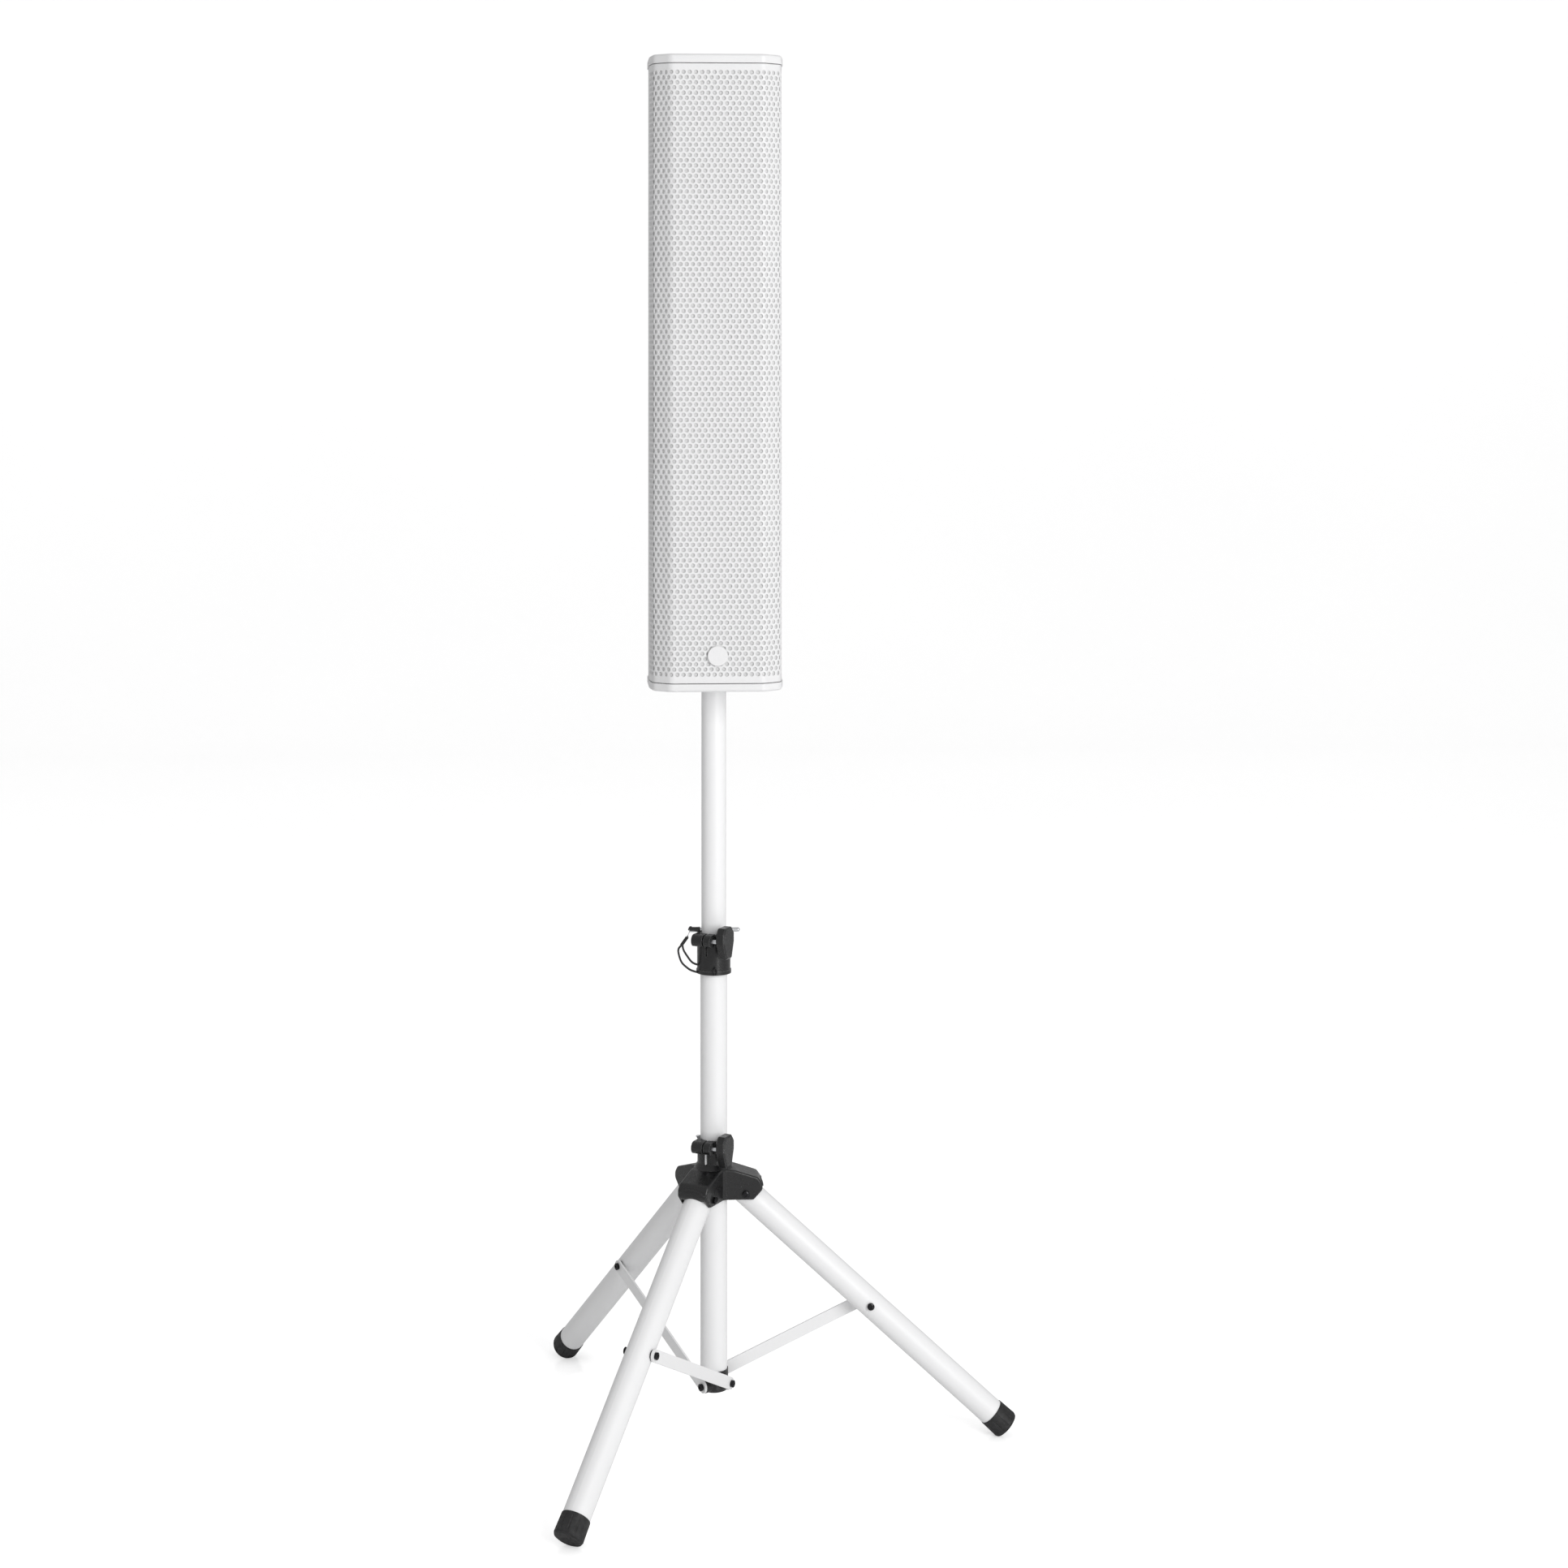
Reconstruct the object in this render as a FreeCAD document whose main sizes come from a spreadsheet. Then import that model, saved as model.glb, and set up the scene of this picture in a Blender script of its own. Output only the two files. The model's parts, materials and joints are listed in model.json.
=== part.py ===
import FreeCAD, Part
import math
import os
import re
import sys

import Sketcher

# Column loudspeaker on a folding tripod stand, in millimetres. The origin is on the floor under the
# mast's axis, +Z is up and the column faces -Y. The legs stand at 0, 120 and -120 degrees about Z.
# Inside a leg's own plane, "out" is the distance from the mast's axis.

DIMENSIONS = {
    # Column: caps, outline seen from above and the layers of its wall
    "column_bottom": 1071.9,
    "column_top": 1955.8,
    "top_cap_height": 12.4,
    "bottom_cap_height": 11.1,
    "cap_overhang": 1.4,
    "cap_edge_radius": 4,
    "cap_rim_height": 6,
    "front_half_width": 64.7,
    "cheek_half_width": 89,
    "side_half_width": 92.6,
    "rear_half_width": 62,
    "half_depth": 95,
    "cheek_depth": 18,
    "side_front": -50,
    "side_rear": 15,
    "corner_radius": 14,
    "side_radius": 45,
    "wall": 8,
    "grille_thickness": 1.2,
    "grille_gap": 1,
    "grille_rear": -30,
    "foam_thickness": 2.4,
    "shell_front": -72,
    "baffle_front": -66,
    "baffle_thickness": 12,
    "badge_radius": 14,
    "badge_height": 1122,
    "cap_screw_length": 30,
    "cap_screw_head": 2.4,
    "cap_screw_front": -24,
    # Drivers
    "woofer_pitch": 168,
    "horn_height": 140,
    "flange_radius": 81,
    "flange_thickness": 3.5,
    "frame_mouth_radius": 67,
    "frame_depth": 47.5,
    "magnet_radius": 45,
    "magnet_height": 24.5,
    "roll_radius": 5,
    "roll_centre_radius": 61.5,
    "cone_radius": 56,
    "coil_radius": 17.5,
    "coil_wall": 1,
    "coil_gap": 1,
    "screw_circle_radius": 74.5,
    "screw_radius": 1.9,
    "screw_head_radius": 3.5,
    "horn_depth": 50,
    "throat_radius": 12.5,
    "driver_radius": 38,
    "driver_length": 38,
    "driver_neck_length": 4,
    "horn_flange_width": 150,
    "horn_mouth_half_width": 62,
    "horn_wall": 4,
    "horn_window_width": 128,
    # Rear of the column
    "plate_width": 100,
    "plate_height": 130,
    "plate_thickness": 2.5,
    "plate_centre": 1215,
    "socket_spacing": 48,
    "socket_rise": 25,
    "twist_radius": 13,
    "twist_barrel_radius": 12,
    "twist_depth": 24.5,
    "jack_bore_radius": 3.3,
    "jack_nut_radius": 8,
    "jack_barrel_radius": 5.5,
    "jack_depth": 24,
    "plate_screw_inset": 5,
    "plate_screw_head": 1.6,
    "board_face": 60,
    "board_width": 84,
    "board_height": 110,
    "board_thickness": 1.6,
    "choke_radius": 15,
    "choke_wall": 8,
    "choke_length": 16,
    "capacitor_radius": 7,
    "capacitor_length": 34,
    "resistor_side": 9,
    "resistor_length": 48,
    "wadding_width": 96,
    "wadding_depth": 38,
    "wadding_height": 540,
    "wadding_back": 58,
    "wadding_rise": 100,
    "loom_across": 62,
    "loom_radius": 2,
    "insert_spacing_x": 60,
    "insert_spacing_z": 120,
    "insert_bore_radius": 2.5,
    "insert_radius": 4.5,
    # Pole, mast and the clamp collar
    "pole_radius": 17.5,
    "pole_wall": 1.5,
    "pole_length": 720,
    "pole_travel": 261.6,
    "pole_clearance": 0.05,
    "socket_depth": 70,
    "mast_radius": 19,
    "mast_wall": 1.4,
    "mast_bottom": 78,
    "mast_top": 702,
    "collar_radius": 23.6,
    "collar_bottom": 664,
    "collar_top": 720,
    "clamp_out": 28,
    "clamp_height": 713,
    "ear_radius": 8.5,
    "nut_ear_length": 16.5,
    "bolt_ear_length": 10,
    "slit_width": 2.4,
    "clamp_bolt_radius": 3,
    "knob_reach": 24.5,
    "knob_thickness": 14.3,
    "knob_height": 44,
    "knob_width": 32,
    "pin_height": 724,
    "pin_radius": 3,
    "pin_reach": 36,
    "pin_grip_radius": 3.9,
    "pin_grip_length": 14,
    "lanyard_radius": 27.1,
    "lanyard_thickness": 2.5,
    "lanyard_across": -20.8,
    "lanyard_height": 695,
    "knob_bevel": 2.2,
    "knob_shoulder": 8,
    # Hub, legs, braces and the bottom bracket
    "hub_top": 430,
    "hub_bottom": 347.5,
    "hub_radius": 23.2,
    "hub_clearance": 0.05,
    "hub_clamp_height": 421,
    "hub_core_radius": 28.5,
    "hub_core_height": 40.5,
    "hub_shoulder": 8,
    "arm_half_width": 23,
    "arm_reach": 24,
    "arm_nose_low": 13,
    "arm_nose_high": 22,
    "arm_roof_low": 30.5,
    "arm_roof_high": 41,
    "arm_roof_radius": 3,
    "arm_nose_radius": 8,
    "leg_pivot_out": 44,
    "leg_pivot_height": 355,
    "leg_angle": 47.53,
    "leg_radius": 19,
    "leg_wall": 1.5,
    "leg_length": 506.8,
    "leg_end": 6,
    "leg_room": 0.5,
    "foot_length": 30,
    "foot_radius": 20.6,
    "flute_radius": 1.6,
    "brace_on_leg": 240.5,
    "brace_length": 253.6,
    "brace_half_width": 8.5,
    "brace_thickness": 3,
    "brace_inside": 21.2,
    "brace_angle": 64.3,
    "pivot_gap": 0.3,
    "bracket_out": -7.1,
    "bracket_pivot_height": 82.6,
    "bracket_bottom": 73,
    "bracket_top": 104,
    "bracket_radius": 20.5,
    "bolt_radius": 3,
    "bolt_head_radius": 4.8,
    "bolt_head_height": 3,
    "turning_clearance": 0.06,
}

LEG_AZIMUTHS = (0, 120, -120)
CLAMP_AZIMUTH = -120
WOOFER_ROWS = (-1.5, -0.5, 0.5, 1.5)
PIN_HOLES = 7
FOOT_FLUTES = 12
LANYARD_START = 145
LANYARD_SWEEP = 110
X_AXIS = FreeCAD.Vector(1, 0, 0)
Y_AXIS = FreeCAD.Vector(0, 1, 0)
Z_AXIS = FreeCAD.Vector(0, 0, 1)
TURNS = {
    "+Z": FreeCAD.Rotation(),
    "+X": FreeCAD.Rotation(Y_AXIS, 90),
    "+Y": FreeCAD.Rotation(X_AXIS, -90),
    "-Y": FreeCAD.Rotation(X_AXIS, 90),
}

doc = FreeCAD.newDocument("pa_speaker")
sheet = doc.addObject("Spreadsheet::Sheet", "dims")
for row, (alias, amount) in enumerate(DIMENSIONS.items(), start=1):
    sheet.set(f"A{row}", str(amount))
    sheet.setAlias(f"A{row}", alias)
doc.recompute()

kept_parts = []


# ---------------------------------------------------------------- sizes and placing


def in_sheet(expression):
    """The expression with each alias written as the sheet's own property."""
    return re.sub(r"[a-z_]+", lambda word: ("dims." if word[0] in DIMENSIONS else "") + word[0], expression)


def number(expression):
    """The expression's present value."""
    return float(sheet.evalExpression(in_sheet(expression)))


def bind(obj, **sizes):
    """Bind properties of an object to expressions of the sheet."""
    for size, expression in sizes.items():
        obj.setExpression(size, in_sheet(expression))
    return obj


def place(obj, at=("0", "0", "0"), along="+Z"):
    """Turn the object's Z axis along a row axis and bind its position to the sheet."""
    obj.Placement = FreeCAD.Placement(FreeCAD.Vector(), TURNS[along])
    for axis, expression in zip("xyz", at):
        if expression != "0":
            obj.setExpression(f"Placement.Base.{axis}", in_sheet(expression))
    return obj


def keep(obj, label):
    """Name a finished sub-part; the label names its file too."""
    obj.Label = label
    kept_parts.append(obj)
    return obj


# ---------------------------------------------------------------- primitives and booleans


def cylinder(name, radius, length, at=("0", "0", "0"), along="+Z"):
    obj = doc.addObject("Part::Cylinder", name)
    bind(obj, Radius=radius, Height=length)
    return place(obj, at, along)


def box(name, width, depth, height, centre):
    """A box about a centre point, widths along X, Y and Z."""
    obj = doc.addObject("Part::Box", name)
    bind(obj, Length=width, Width=depth, Height=height)
    sizes = (width, depth, height)
    return place(obj, [f"{middle} - ({size}) / 2" for middle, size in zip(centre, sizes)])


def cut(name, base, tool):
    obj = doc.addObject("Part::Cut", name)
    obj.Base = base
    obj.Tool = tool
    return obj


def common(name, base, tool):
    obj = doc.addObject("Part::Common", name)
    obj.Base = base
    obj.Tool = tool
    return obj


def fuse(name, shapes):
    obj = doc.addObject("Part::MultiFuse", name)
    obj.Shapes = shapes
    return obj


def group(name, shapes):
    """Separate solids that share one node."""
    obj = doc.addObject("Part::Compound", name)
    obj.Links = shapes
    return obj


def tube(name, radius, wall, length, at=("0", "0", "0"), along="+Z"):
    outside = cylinder(name + "_outside", radius, length, at, along)
    inside = cylinder(name + "_inside", f"{radius} - ({wall})", length, at, along)
    return cut(name, outside, inside)


# ---------------------------------------------------------------- sketched bodies


def origin_plane(body, role):
    return next(feature for feature in body.Origin.OriginFeatures if feature.Role == role)


def outline_sketch(body, name, role, points):
    """A closed sketch of straight sides, each corner's coordinates bound to the sheet."""
    sketch = body.newObject("Sketcher::SketchObject", name)
    sketch.AttachmentSupport = (origin_plane(body, role), [""])
    sketch.MapMode = "FlatFace"
    corners = [FreeCAD.Vector(number(x), number(y), 0) for x, y in points]
    for start, end in zip(corners, corners[1:] + corners[:1]):
        sketch.addGeometry(Part.LineSegment(start, end))
    for side in range(len(points)):
        sketch.addConstraint(Sketcher.Constraint("Coincident", side, 2, (side + 1) % len(points), 1))
    for side, (point, corner) in enumerate(zip(points, corners)):
        for kind, axis_line, expression, amount in (
            ("DistanceX", -2, point[0], corner.x),
            ("DistanceY", -1, point[1], corner.y),
        ):
            if abs(amount) < 1e-9:
                sketch.addConstraint(Sketcher.Constraint("PointOnObject", side, 1, axis_line))
                continue
            index = sketch.addConstraint(Sketcher.Constraint(kind, -1, 1, side, 1, amount))
            sketch.setExpression(f"Constraints[{index}]", in_sheet(expression))
    return sketch


def turned(name, points, at=("0", "0", "0"), along="+Z"):
    """A body turned about its own Z axis from a profile of (radius, height) points."""
    body = doc.addObject("PartDesign::Body", name)
    sketch = outline_sketch(body, name + "_profile", "XZ_Plane", points)
    feature = body.newObject("PartDesign::Revolution", name + "_turn")
    feature.Profile = sketch
    feature.ReferenceAxis = (sketch, ["V_Axis"])
    feature.Angle = 360
    sketch.Visibility = False
    return place(body, at, along)


def plate(name, points, thickness, role="XY_Plane", midplane=False):
    """A body of one outline padded to a thickness."""
    body = doc.addObject("PartDesign::Body", name)
    sketch = outline_sketch(body, name + "_outline", role, points)
    feature = body.newObject("PartDesign::Pad", name + "_pad")
    feature.Profile = sketch
    feature.Midplane = midplane
    bind(feature, Length=thickness)
    return body


# ---------------------------------------------------------------- the column's outline and layers


def rounded_wire(corners):
    """A closed wire through (x, y, radius) corners, each rounded with an arc."""
    points = [FreeCAD.Vector(x, y, 0) for x, y, _ in corners]
    edges = []
    ends = []
    for index, (_, _, radius) in enumerate(corners):
        corner = points[index]
        back = (points[index - 1] - corner).normalize()
        ahead = (points[(index + 1) % len(points)] - corner).normalize()
        half_angle = back.getAngle(ahead) / 2
        reach = radius / math.tan(half_angle)
        bisector = (back + ahead).normalize()
        middle = corner + bisector * (radius / math.sin(half_angle) - radius)
        ends.append((corner + back * reach, middle, corner + ahead * reach))
    for index, (start, middle, end) in enumerate(ends):
        edges.append(Part.Arc(start, middle, end).toShape())
        edges.append(Part.LineSegment(end, ends[(index + 1) % len(ends)][0]).toShape())
    return Part.Wire(edges)


def column_outline():
    """Flat front, angled cheeks, straight sides and a back that tapers in."""
    corner, soft = number("corner_radius"), number("side_radius")
    right = [
        (number("front_half_width"), -number("half_depth"), corner),
        (number("cheek_half_width"), number("cheek_depth - half_depth"), corner),
        (number("side_half_width"), number("side_front"), soft),
        (number("side_half_width"), number("side_rear"), soft),
        (number("rear_half_width"), number("half_depth"), corner),
    ]
    left = [(-x, y, radius) for x, y, radius in reversed(right)]
    obj = doc.addObject("Part::Feature", "column_outline")
    obj.Shape = rounded_wire(right + left)
    return obj


outline = column_outline()


def layer(name, offset, bottom, top):
    """The column's outline, grown by an offset, raised between two heights."""
    edge = outline
    if offset != "0":
        edge = doc.addObject("Part::Offset2D", name + "_edge")
        edge.Source = outline
        bind(edge, Value=offset)
    solid = doc.addObject("Part::Extrusion", name)
    solid.Base = edge
    solid.DirMode = "Custom"
    solid.Dir = Z_AXIS
    solid.Solid = True
    bind(solid, LengthFwd=f"{top} - ({bottom})")
    return place(solid, ("0", "0", bottom))


def layer_ring(name, outer, inner, bottom, top):
    return cut(name, layer(name + "_outer", outer, bottom, top), layer(name + "_inner", inner, bottom, top))


SHELL_BOTTOM = "(column_bottom + bottom_cap_height)"
SHELL_TOP = "(column_top - top_cap_height)"
SHELL_HEIGHT = f"({SHELL_TOP} - {SHELL_BOTTOM})"
COLUMN_MIDDLE = f"(({SHELL_TOP} + {SHELL_BOTTOM}) / 2)"
FOAM_FRONT = "(grille_thickness + 0.1)"
FOAM_BACK = f"({FOAM_FRONT} + foam_thickness)"


def front_zone(name, rear):
    """A box that holds everything in front of a plane."""
    depth = f"(half_depth * 2 + ({rear}))"
    height = "(column_top - column_bottom)"
    middle = "((column_top + column_bottom) / 2)"
    return box(name, "side_half_width * 4", depth, height, ("0", f"({rear}) - {depth} / 2", middle))


def cap(name, bottom, top, rim_bottom, rim_top, round_top):
    """An end cap: a plate with a rounded outer edge, and a rim that fits inside the shell."""
    slab = layer(name + "_slab", "cap_overhang", bottom, top)
    doc.recompute()
    rounded = doc.addObject("Part::Fillet", name + "_rounded")
    rounded.Base = slab
    level = number(top if round_top else bottom)
    radius = number("cap_edge_radius")
    rounded.Edges = [
        (index, radius, radius)
        for index, edge in enumerate(slab.Shape.Edges, start=1)
        if all(abs(vertex.Z - level) < 1e-6 for vertex in edge.Vertexes)
    ]
    rim = layer_ring(name + "_rim", "-(wall + 0.2)", "-(wall + 3)", rim_bottom, rim_top)
    return fuse(name + "_body", [rounded, rim])


def cap_screw_places():
    """Middle of the shell's wall at the four corners where the caps are screwed down."""
    across_rear = "(rear_half_width - 4)"
    across_side = "(side_half_width - wall / 2)"
    return [
        (f"{sign}{across}", along)
        for sign in ("", "-")
        for across, along in ((across_side, "cap_screw_front"), (across_rear, "(half_depth - wall / 2)"))
    ]


def cap_screw_cylinders(name, radius, length, bottoms):
    """One upright cylinder at each screw's place, starting at each of the given heights."""
    return [
        cylinder(f"{name}_{level}_{corner}", radius, length, (across, along, bottom))
        for level, bottom in enumerate(bottoms)
        for corner, (across, along) in enumerate(cap_screw_places())
    ]


def cap_screws():
    """Countersunk deep enough that each head is flush with its cap."""
    shanks = cap_screw_cylinders("cap_screw_shank", "screw_radius", "cap_screw_length",
                                 ("column_bottom", "column_top - cap_screw_length"))
    heads = cap_screw_cylinders("cap_screw_top", "screw_head_radius", "cap_screw_head",
                                ("column_bottom", "column_top - cap_screw_head"))
    screws = [fuse(f"cap_screw_{index}", pair) for index, pair in enumerate(zip(shanks, heads))]
    return keep(group("cap_screw_group", screws), "cap_screws")


def caps_and_shell():
    """Both caps, the rear shell and the screws that join them."""
    screws = cap_screws()
    top = cap("top_cap", SHELL_TOP, "column_top", f"{SHELL_TOP} - cap_rim_height", SHELL_TOP, True)
    keep(cut("top_cap_drilled", top, screws), "top_cap")
    bottom = cap("bottom_cap", "column_bottom", SHELL_BOTTOM, SHELL_BOTTOM,
                 f"{SHELL_BOTTOM} + cap_rim_height", False)
    pole_hole = cylinder("bottom_cap_hole", "pole_radius + 4", "bottom_cap_height * 2",
                         ("0", "0", "column_bottom - 1"))
    keep(cut("bottom_cap_drilled", cut("bottom_cap_open", bottom, pole_hole), screws), "bottom_cap")

    walls = layer_ring("shell_walls", "0", "-wall", SHELL_BOTTOM, SHELL_TOP)
    step = common("shell_step", layer_ring("shell_step_ring", "1", f"-{FOAM_BACK} - 0.1", SHELL_BOTTOM,
                                           SHELL_TOP), front_zone("shell_step_zone", "grille_rear"))
    opening = front_zone("shell_opening", "shell_front")
    plate_hole = box("plate_hole", "plate_width - 16", "wall * 4", "plate_height - 16",
                     ("0", "half_depth", "plate_centre"))
    plate_recess = box("plate_recess", "plate_width + 1", "plate_thickness * 2", "plate_height + 1",
                       ("0", "half_depth", "plate_centre"))
    inserts = [insert_cylinder(f"insert_hole_{index}", "insert_radius", place_at)
               for index, place_at in enumerate(insert_places())]
    holes = [step, opening, plate_hole, plate_recess, screws] + inserts + plate_screw_cylinders()
    shell = walls
    for index, hole in enumerate(holes):
        shell = cut(f"shell_cut_{index}", shell, hole)
    keep(shell, "cabinet_shell")


def insert_places():
    return [
        (f"{x} * insert_spacing_x / 2", f"{COLUMN_MIDDLE} + {z} * insert_spacing_z / 2")
        for x in (-1, 1)
        for z in (-1, 1)
    ]


def insert_cylinder(name, radius, place_at):
    """A cylinder through the back wall at one of the wall bracket's threaded inserts."""
    across, height = place_at
    return cylinder(name, radius, "wall + 4", (across, "half_depth - wall - 4", height), "+Y")


def bracket_inserts():
    inserts = [
        cut(f"insert_{index}", insert_cylinder(f"insert_outside_{index}", "insert_radius", place_at),
            insert_cylinder(f"insert_bore_{index}", "insert_bore_radius", place_at))
        for index, place_at in enumerate(insert_places())
    ]
    keep(group("insert_group", inserts), "bracket_inserts")


def grille_and_foam():
    """The perforated sheet that wraps the front, drawn as its plain sheet, with foam behind it."""
    bottom, top = f"{SHELL_BOTTOM} + grille_gap", f"{SHELL_TOP} - grille_gap"
    sheet_ring = layer_ring("grille_ring", "0", "-grille_thickness", bottom, top)
    keep(common("grille_front", sheet_ring, front_zone("grille_zone", "grille_rear")), "grille")
    foam_ring = layer_ring("foam_ring", f"-{FOAM_FRONT}", f"-{FOAM_BACK}", bottom, top)
    keep(common("foam_front", foam_ring, front_zone("foam_zone", "grille_rear - 2")), "grille_foam")


def badge():
    """A blank round badge on a smaller boss, so that a dark gap shows round it."""
    profile = [("0", "0"), ("badge_radius - 2", "0"), ("badge_radius - 2", "0.8"), ("badge_radius", "0.8"),
               ("badge_radius", "2.6"), ("badge_radius - 0.8", "3.4"), ("0", "3.4")]
    keep(turned("badge", profile, ("0", "-half_depth", "badge_height"), "-Y"), "badge")


# ---------------------------------------------------------------- drivers


def woofer_height(row):
    """Two woofers below the horn and two above it."""
    side = 1 if row > 0 else -1
    return f"{COLUMN_MIDDLE} + {side} * horn_height / 2 + {row} * woofer_pitch"


def on_each_woofer(name, make):
    """One solid for each woofer, placed on the baffle's front face and facing forward."""
    return [
        make(f"{name}_{index}", ("0", "baffle_front", woofer_height(row)))
        for index, row in enumerate(WOOFER_ROWS)
    ]


def woofer_frame(name, at):
    back = "-frame_depth"
    profile = [
        ("flange_radius", "0"), ("flange_radius", "flange_thickness"),
        ("frame_mouth_radius - 1", "flange_thickness"), ("frame_mouth_radius - 3", "1"),
        ("magnet_radius - 7", f"{back} + 2.5"), ("coil_radius + 2.5", f"{back} + 2.5"),
        ("coil_radius + 2.5", back), ("magnet_radius - 5", back), ("frame_mouth_radius", "0"),
    ]
    return turned(name, profile, at, "-Y")


def woofer_magnet(name, at):
    """Ring magnet and pole piece with the gap that the voice coil moves in."""
    front, back = "-frame_depth", "-(frame_depth + magnet_height)"
    outer, inner, floor = "coil_radius + coil_gap", "coil_radius - coil_wall - coil_gap", f"{back} + 6"
    profile = [("0", back), ("magnet_radius", back), ("magnet_radius", front), (outer, front),
               (outer, floor), (inner, floor), (inner, front), ("0", front)]
    return turned(name, profile, at, "-Y")


def woofer_surround(name, at):
    """A half-roll between the frame and the cone, with a flat lip glued to the frame."""
    level = (at[0], f"{at[1]} - flange_thickness", at[2])
    rolls = []
    for part, radius in (("outside", "roll_radius"), ("inside", "roll_radius - 0.7")):
        roll = doc.addObject("Part::Torus", f"{name}_{part}")
        bind(roll, Radius1="roll_centre_radius", Radius2=radius)
        roll.Angle1 = 0
        roll.Angle2 = 180
        rolls.append(place(roll, level, "-Y"))
    lip = tube(name + "_lip", "frame_mouth_radius + 3", "4.5", "0.7", level, "-Y")
    return fuse(name, [cut(name + "_roll", *rolls), lip])


def woofer_cone(name, at):
    """Cone and voice coil former in one."""
    coil, bore = "coil_radius", "coil_radius - coil_wall"
    profile = [("cone_radius", "2.2"), ("cone_radius", "1"), (coil, "-31"), (coil, "-(frame_depth + 13)"),
               (bore, "-(frame_depth + 13)"), (bore, "-28.5"), ("cone_radius - 3", "2.2")]
    return turned(name, profile, at, "-Y")


def dust_cap(name, at):
    obj = doc.addObject("Part::Sphere", name)
    bind(obj, Radius="coil_radius * 1.7", Angle1="55")
    sunk = (at[0], f"{at[1]} + 27.9 + coil_radius * 1.7 * sin(55)", at[2])
    return place(obj, sunk, "-Y")


def woofer_screw_places():
    reach = "screw_circle_radius * sin(45)"
    return [
        (f"{across} * {reach}", f"{woofer_height(row)} + {up} * {reach}")
        for row in WOOFER_ROWS
        for across in (-1, 1)
        for up in (-1, 1)
    ]


def woofer_screws():
    screws = []
    for index, (across, height) in enumerate(woofer_screw_places()):
        shank = cylinder(f"woofer_screw_shank_{index}", "screw_radius", "flange_thickness + 9",
                         (across, "baffle_front - flange_thickness", height), "+Y")
        head = cylinder(f"woofer_screw_head_{index}", "screw_head_radius", "2",
                        (across, "baffle_front - flange_thickness - 2", height), "+Y")
        screws.append(fuse(f"woofer_screw_{index}", [shank, head]))
    return keep(group("woofer_screw_group", screws), "woofer_screws")


def horn_wedge(name, mouth_width, mouth_height, throat, front, back):
    """A square-sided funnel that narrows from the mouth to the throat."""
    obj = doc.addObject("Part::Wedge", name)
    bind(obj, Xmin=f"-({mouth_width})", Xmax=mouth_width, Zmin=f"-({mouth_height})", Zmax=mouth_height,
         X2min=f"-({throat})", X2max=throat, Z2min=f"-({throat})", Z2max=throat,
         Ymin=front, Ymax=back)
    return place(obj, ("0", "baffle_front", COLUMN_MIDDLE))


def tweeter():
    """Horn flare on a square flange, with the compression driver behind its throat."""
    mouth_height = "(horn_height / 2 - 22)"
    flange = box("horn_flange", "horn_flange_width", "flange_thickness", "horn_height - 12",
                 ("0", "baffle_front - flange_thickness / 2", COLUMN_MIDDLE))
    funnel = horn_wedge("horn_outside", "horn_mouth_half_width", mouth_height, "throat_radius + 3", "0",
                        "horn_depth")
    flare = horn_wedge("horn_inside", "horn_mouth_half_width - horn_wall", f"{mouth_height} - 3",
                       "throat_radius", "-flange_thickness - 1", "horn_depth + 1")
    keep(cut("horn", fuse("horn_solid", [flange, funnel]), flare), "tweeter_horn")
    neck = cylinder("driver_neck", "throat_radius + 9", "driver_neck_length",
                    ("0", "baffle_front + horn_depth", COLUMN_MIDDLE), "+Y")
    body = cylinder("driver_body", "driver_radius", "driver_length",
                    ("0", "baffle_front + horn_depth + driver_neck_length", COLUMN_MIDDLE), "+Y")
    keep(fuse("driver", [neck, body]), "tweeter_driver")


def baffle(screws):
    """The board that carries the drivers, cut for the woofers and the horn."""
    inside = layer("baffle_outline", "-(wall + 0.1)", f"{SHELL_BOTTOM} + cap_rim_height + 1",
                   f"{SHELL_TOP} - cap_rim_height - 1")
    slab = box("baffle_slab", "side_half_width * 2", "baffle_thickness", SHELL_HEIGHT,
               ("0", "baffle_front + baffle_thickness / 2", COLUMN_MIDDLE))
    holes = on_each_woofer("baffle_hole", lambda name, at: cylinder(
        name, "frame_mouth_radius + 1", "baffle_thickness * 3",
        (at[0], f"{at[1]} - baffle_thickness", at[2]), "+Y"))
    window = box("horn_window", "horn_window_width", "baffle_thickness * 3", "horn_height - 38",
                 ("0", "baffle_front", COLUMN_MIDDLE))
    board = common("baffle_board", inside, slab)
    for index, hole in enumerate(holes + [window, screws]):
        board = cut(f"baffle_cut_{index}", board, hole)
    keep(board, "front_baffle")


def drivers():
    screws = woofer_screws()
    baffle(screws)
    frames = group("woofer_frame_group", on_each_woofer("woofer_frame", woofer_frame))
    keep(cut("woofer_frames_drilled", frames, screws), "woofer_frames")
    for label, make in (
        ("woofer_magnets", woofer_magnet),
        ("woofer_surrounds", woofer_surround),
        ("woofer_cones", woofer_cone),
        ("dust_caps", dust_cap),
    ):
        keep(group(label + "_group", on_each_woofer(label, make)), label)
    tweeter()


# ---------------------------------------------------------------- electronics and rear fittings


def plate_screw_places():
    return [
        (f"{x} * (plate_width / 2 - plate_screw_inset)",
         f"plate_centre + {z} * (plate_height / 2 - plate_screw_inset)")
        for x in (-1, 1)
        for z in (-1, 1)
    ]


def plate_screw_cylinders(radius="screw_radius", length="wall", name="plate_screw_hole"):
    """Cylinders along +Y that end at the plate's outer face, one at each corner."""
    return [
        cylinder(f"{name}_{corner}", radius, length, (across, f"half_depth - ({length})", height), "+Y")
        for corner, (across, height) in enumerate(plate_screw_places())
    ]


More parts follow.
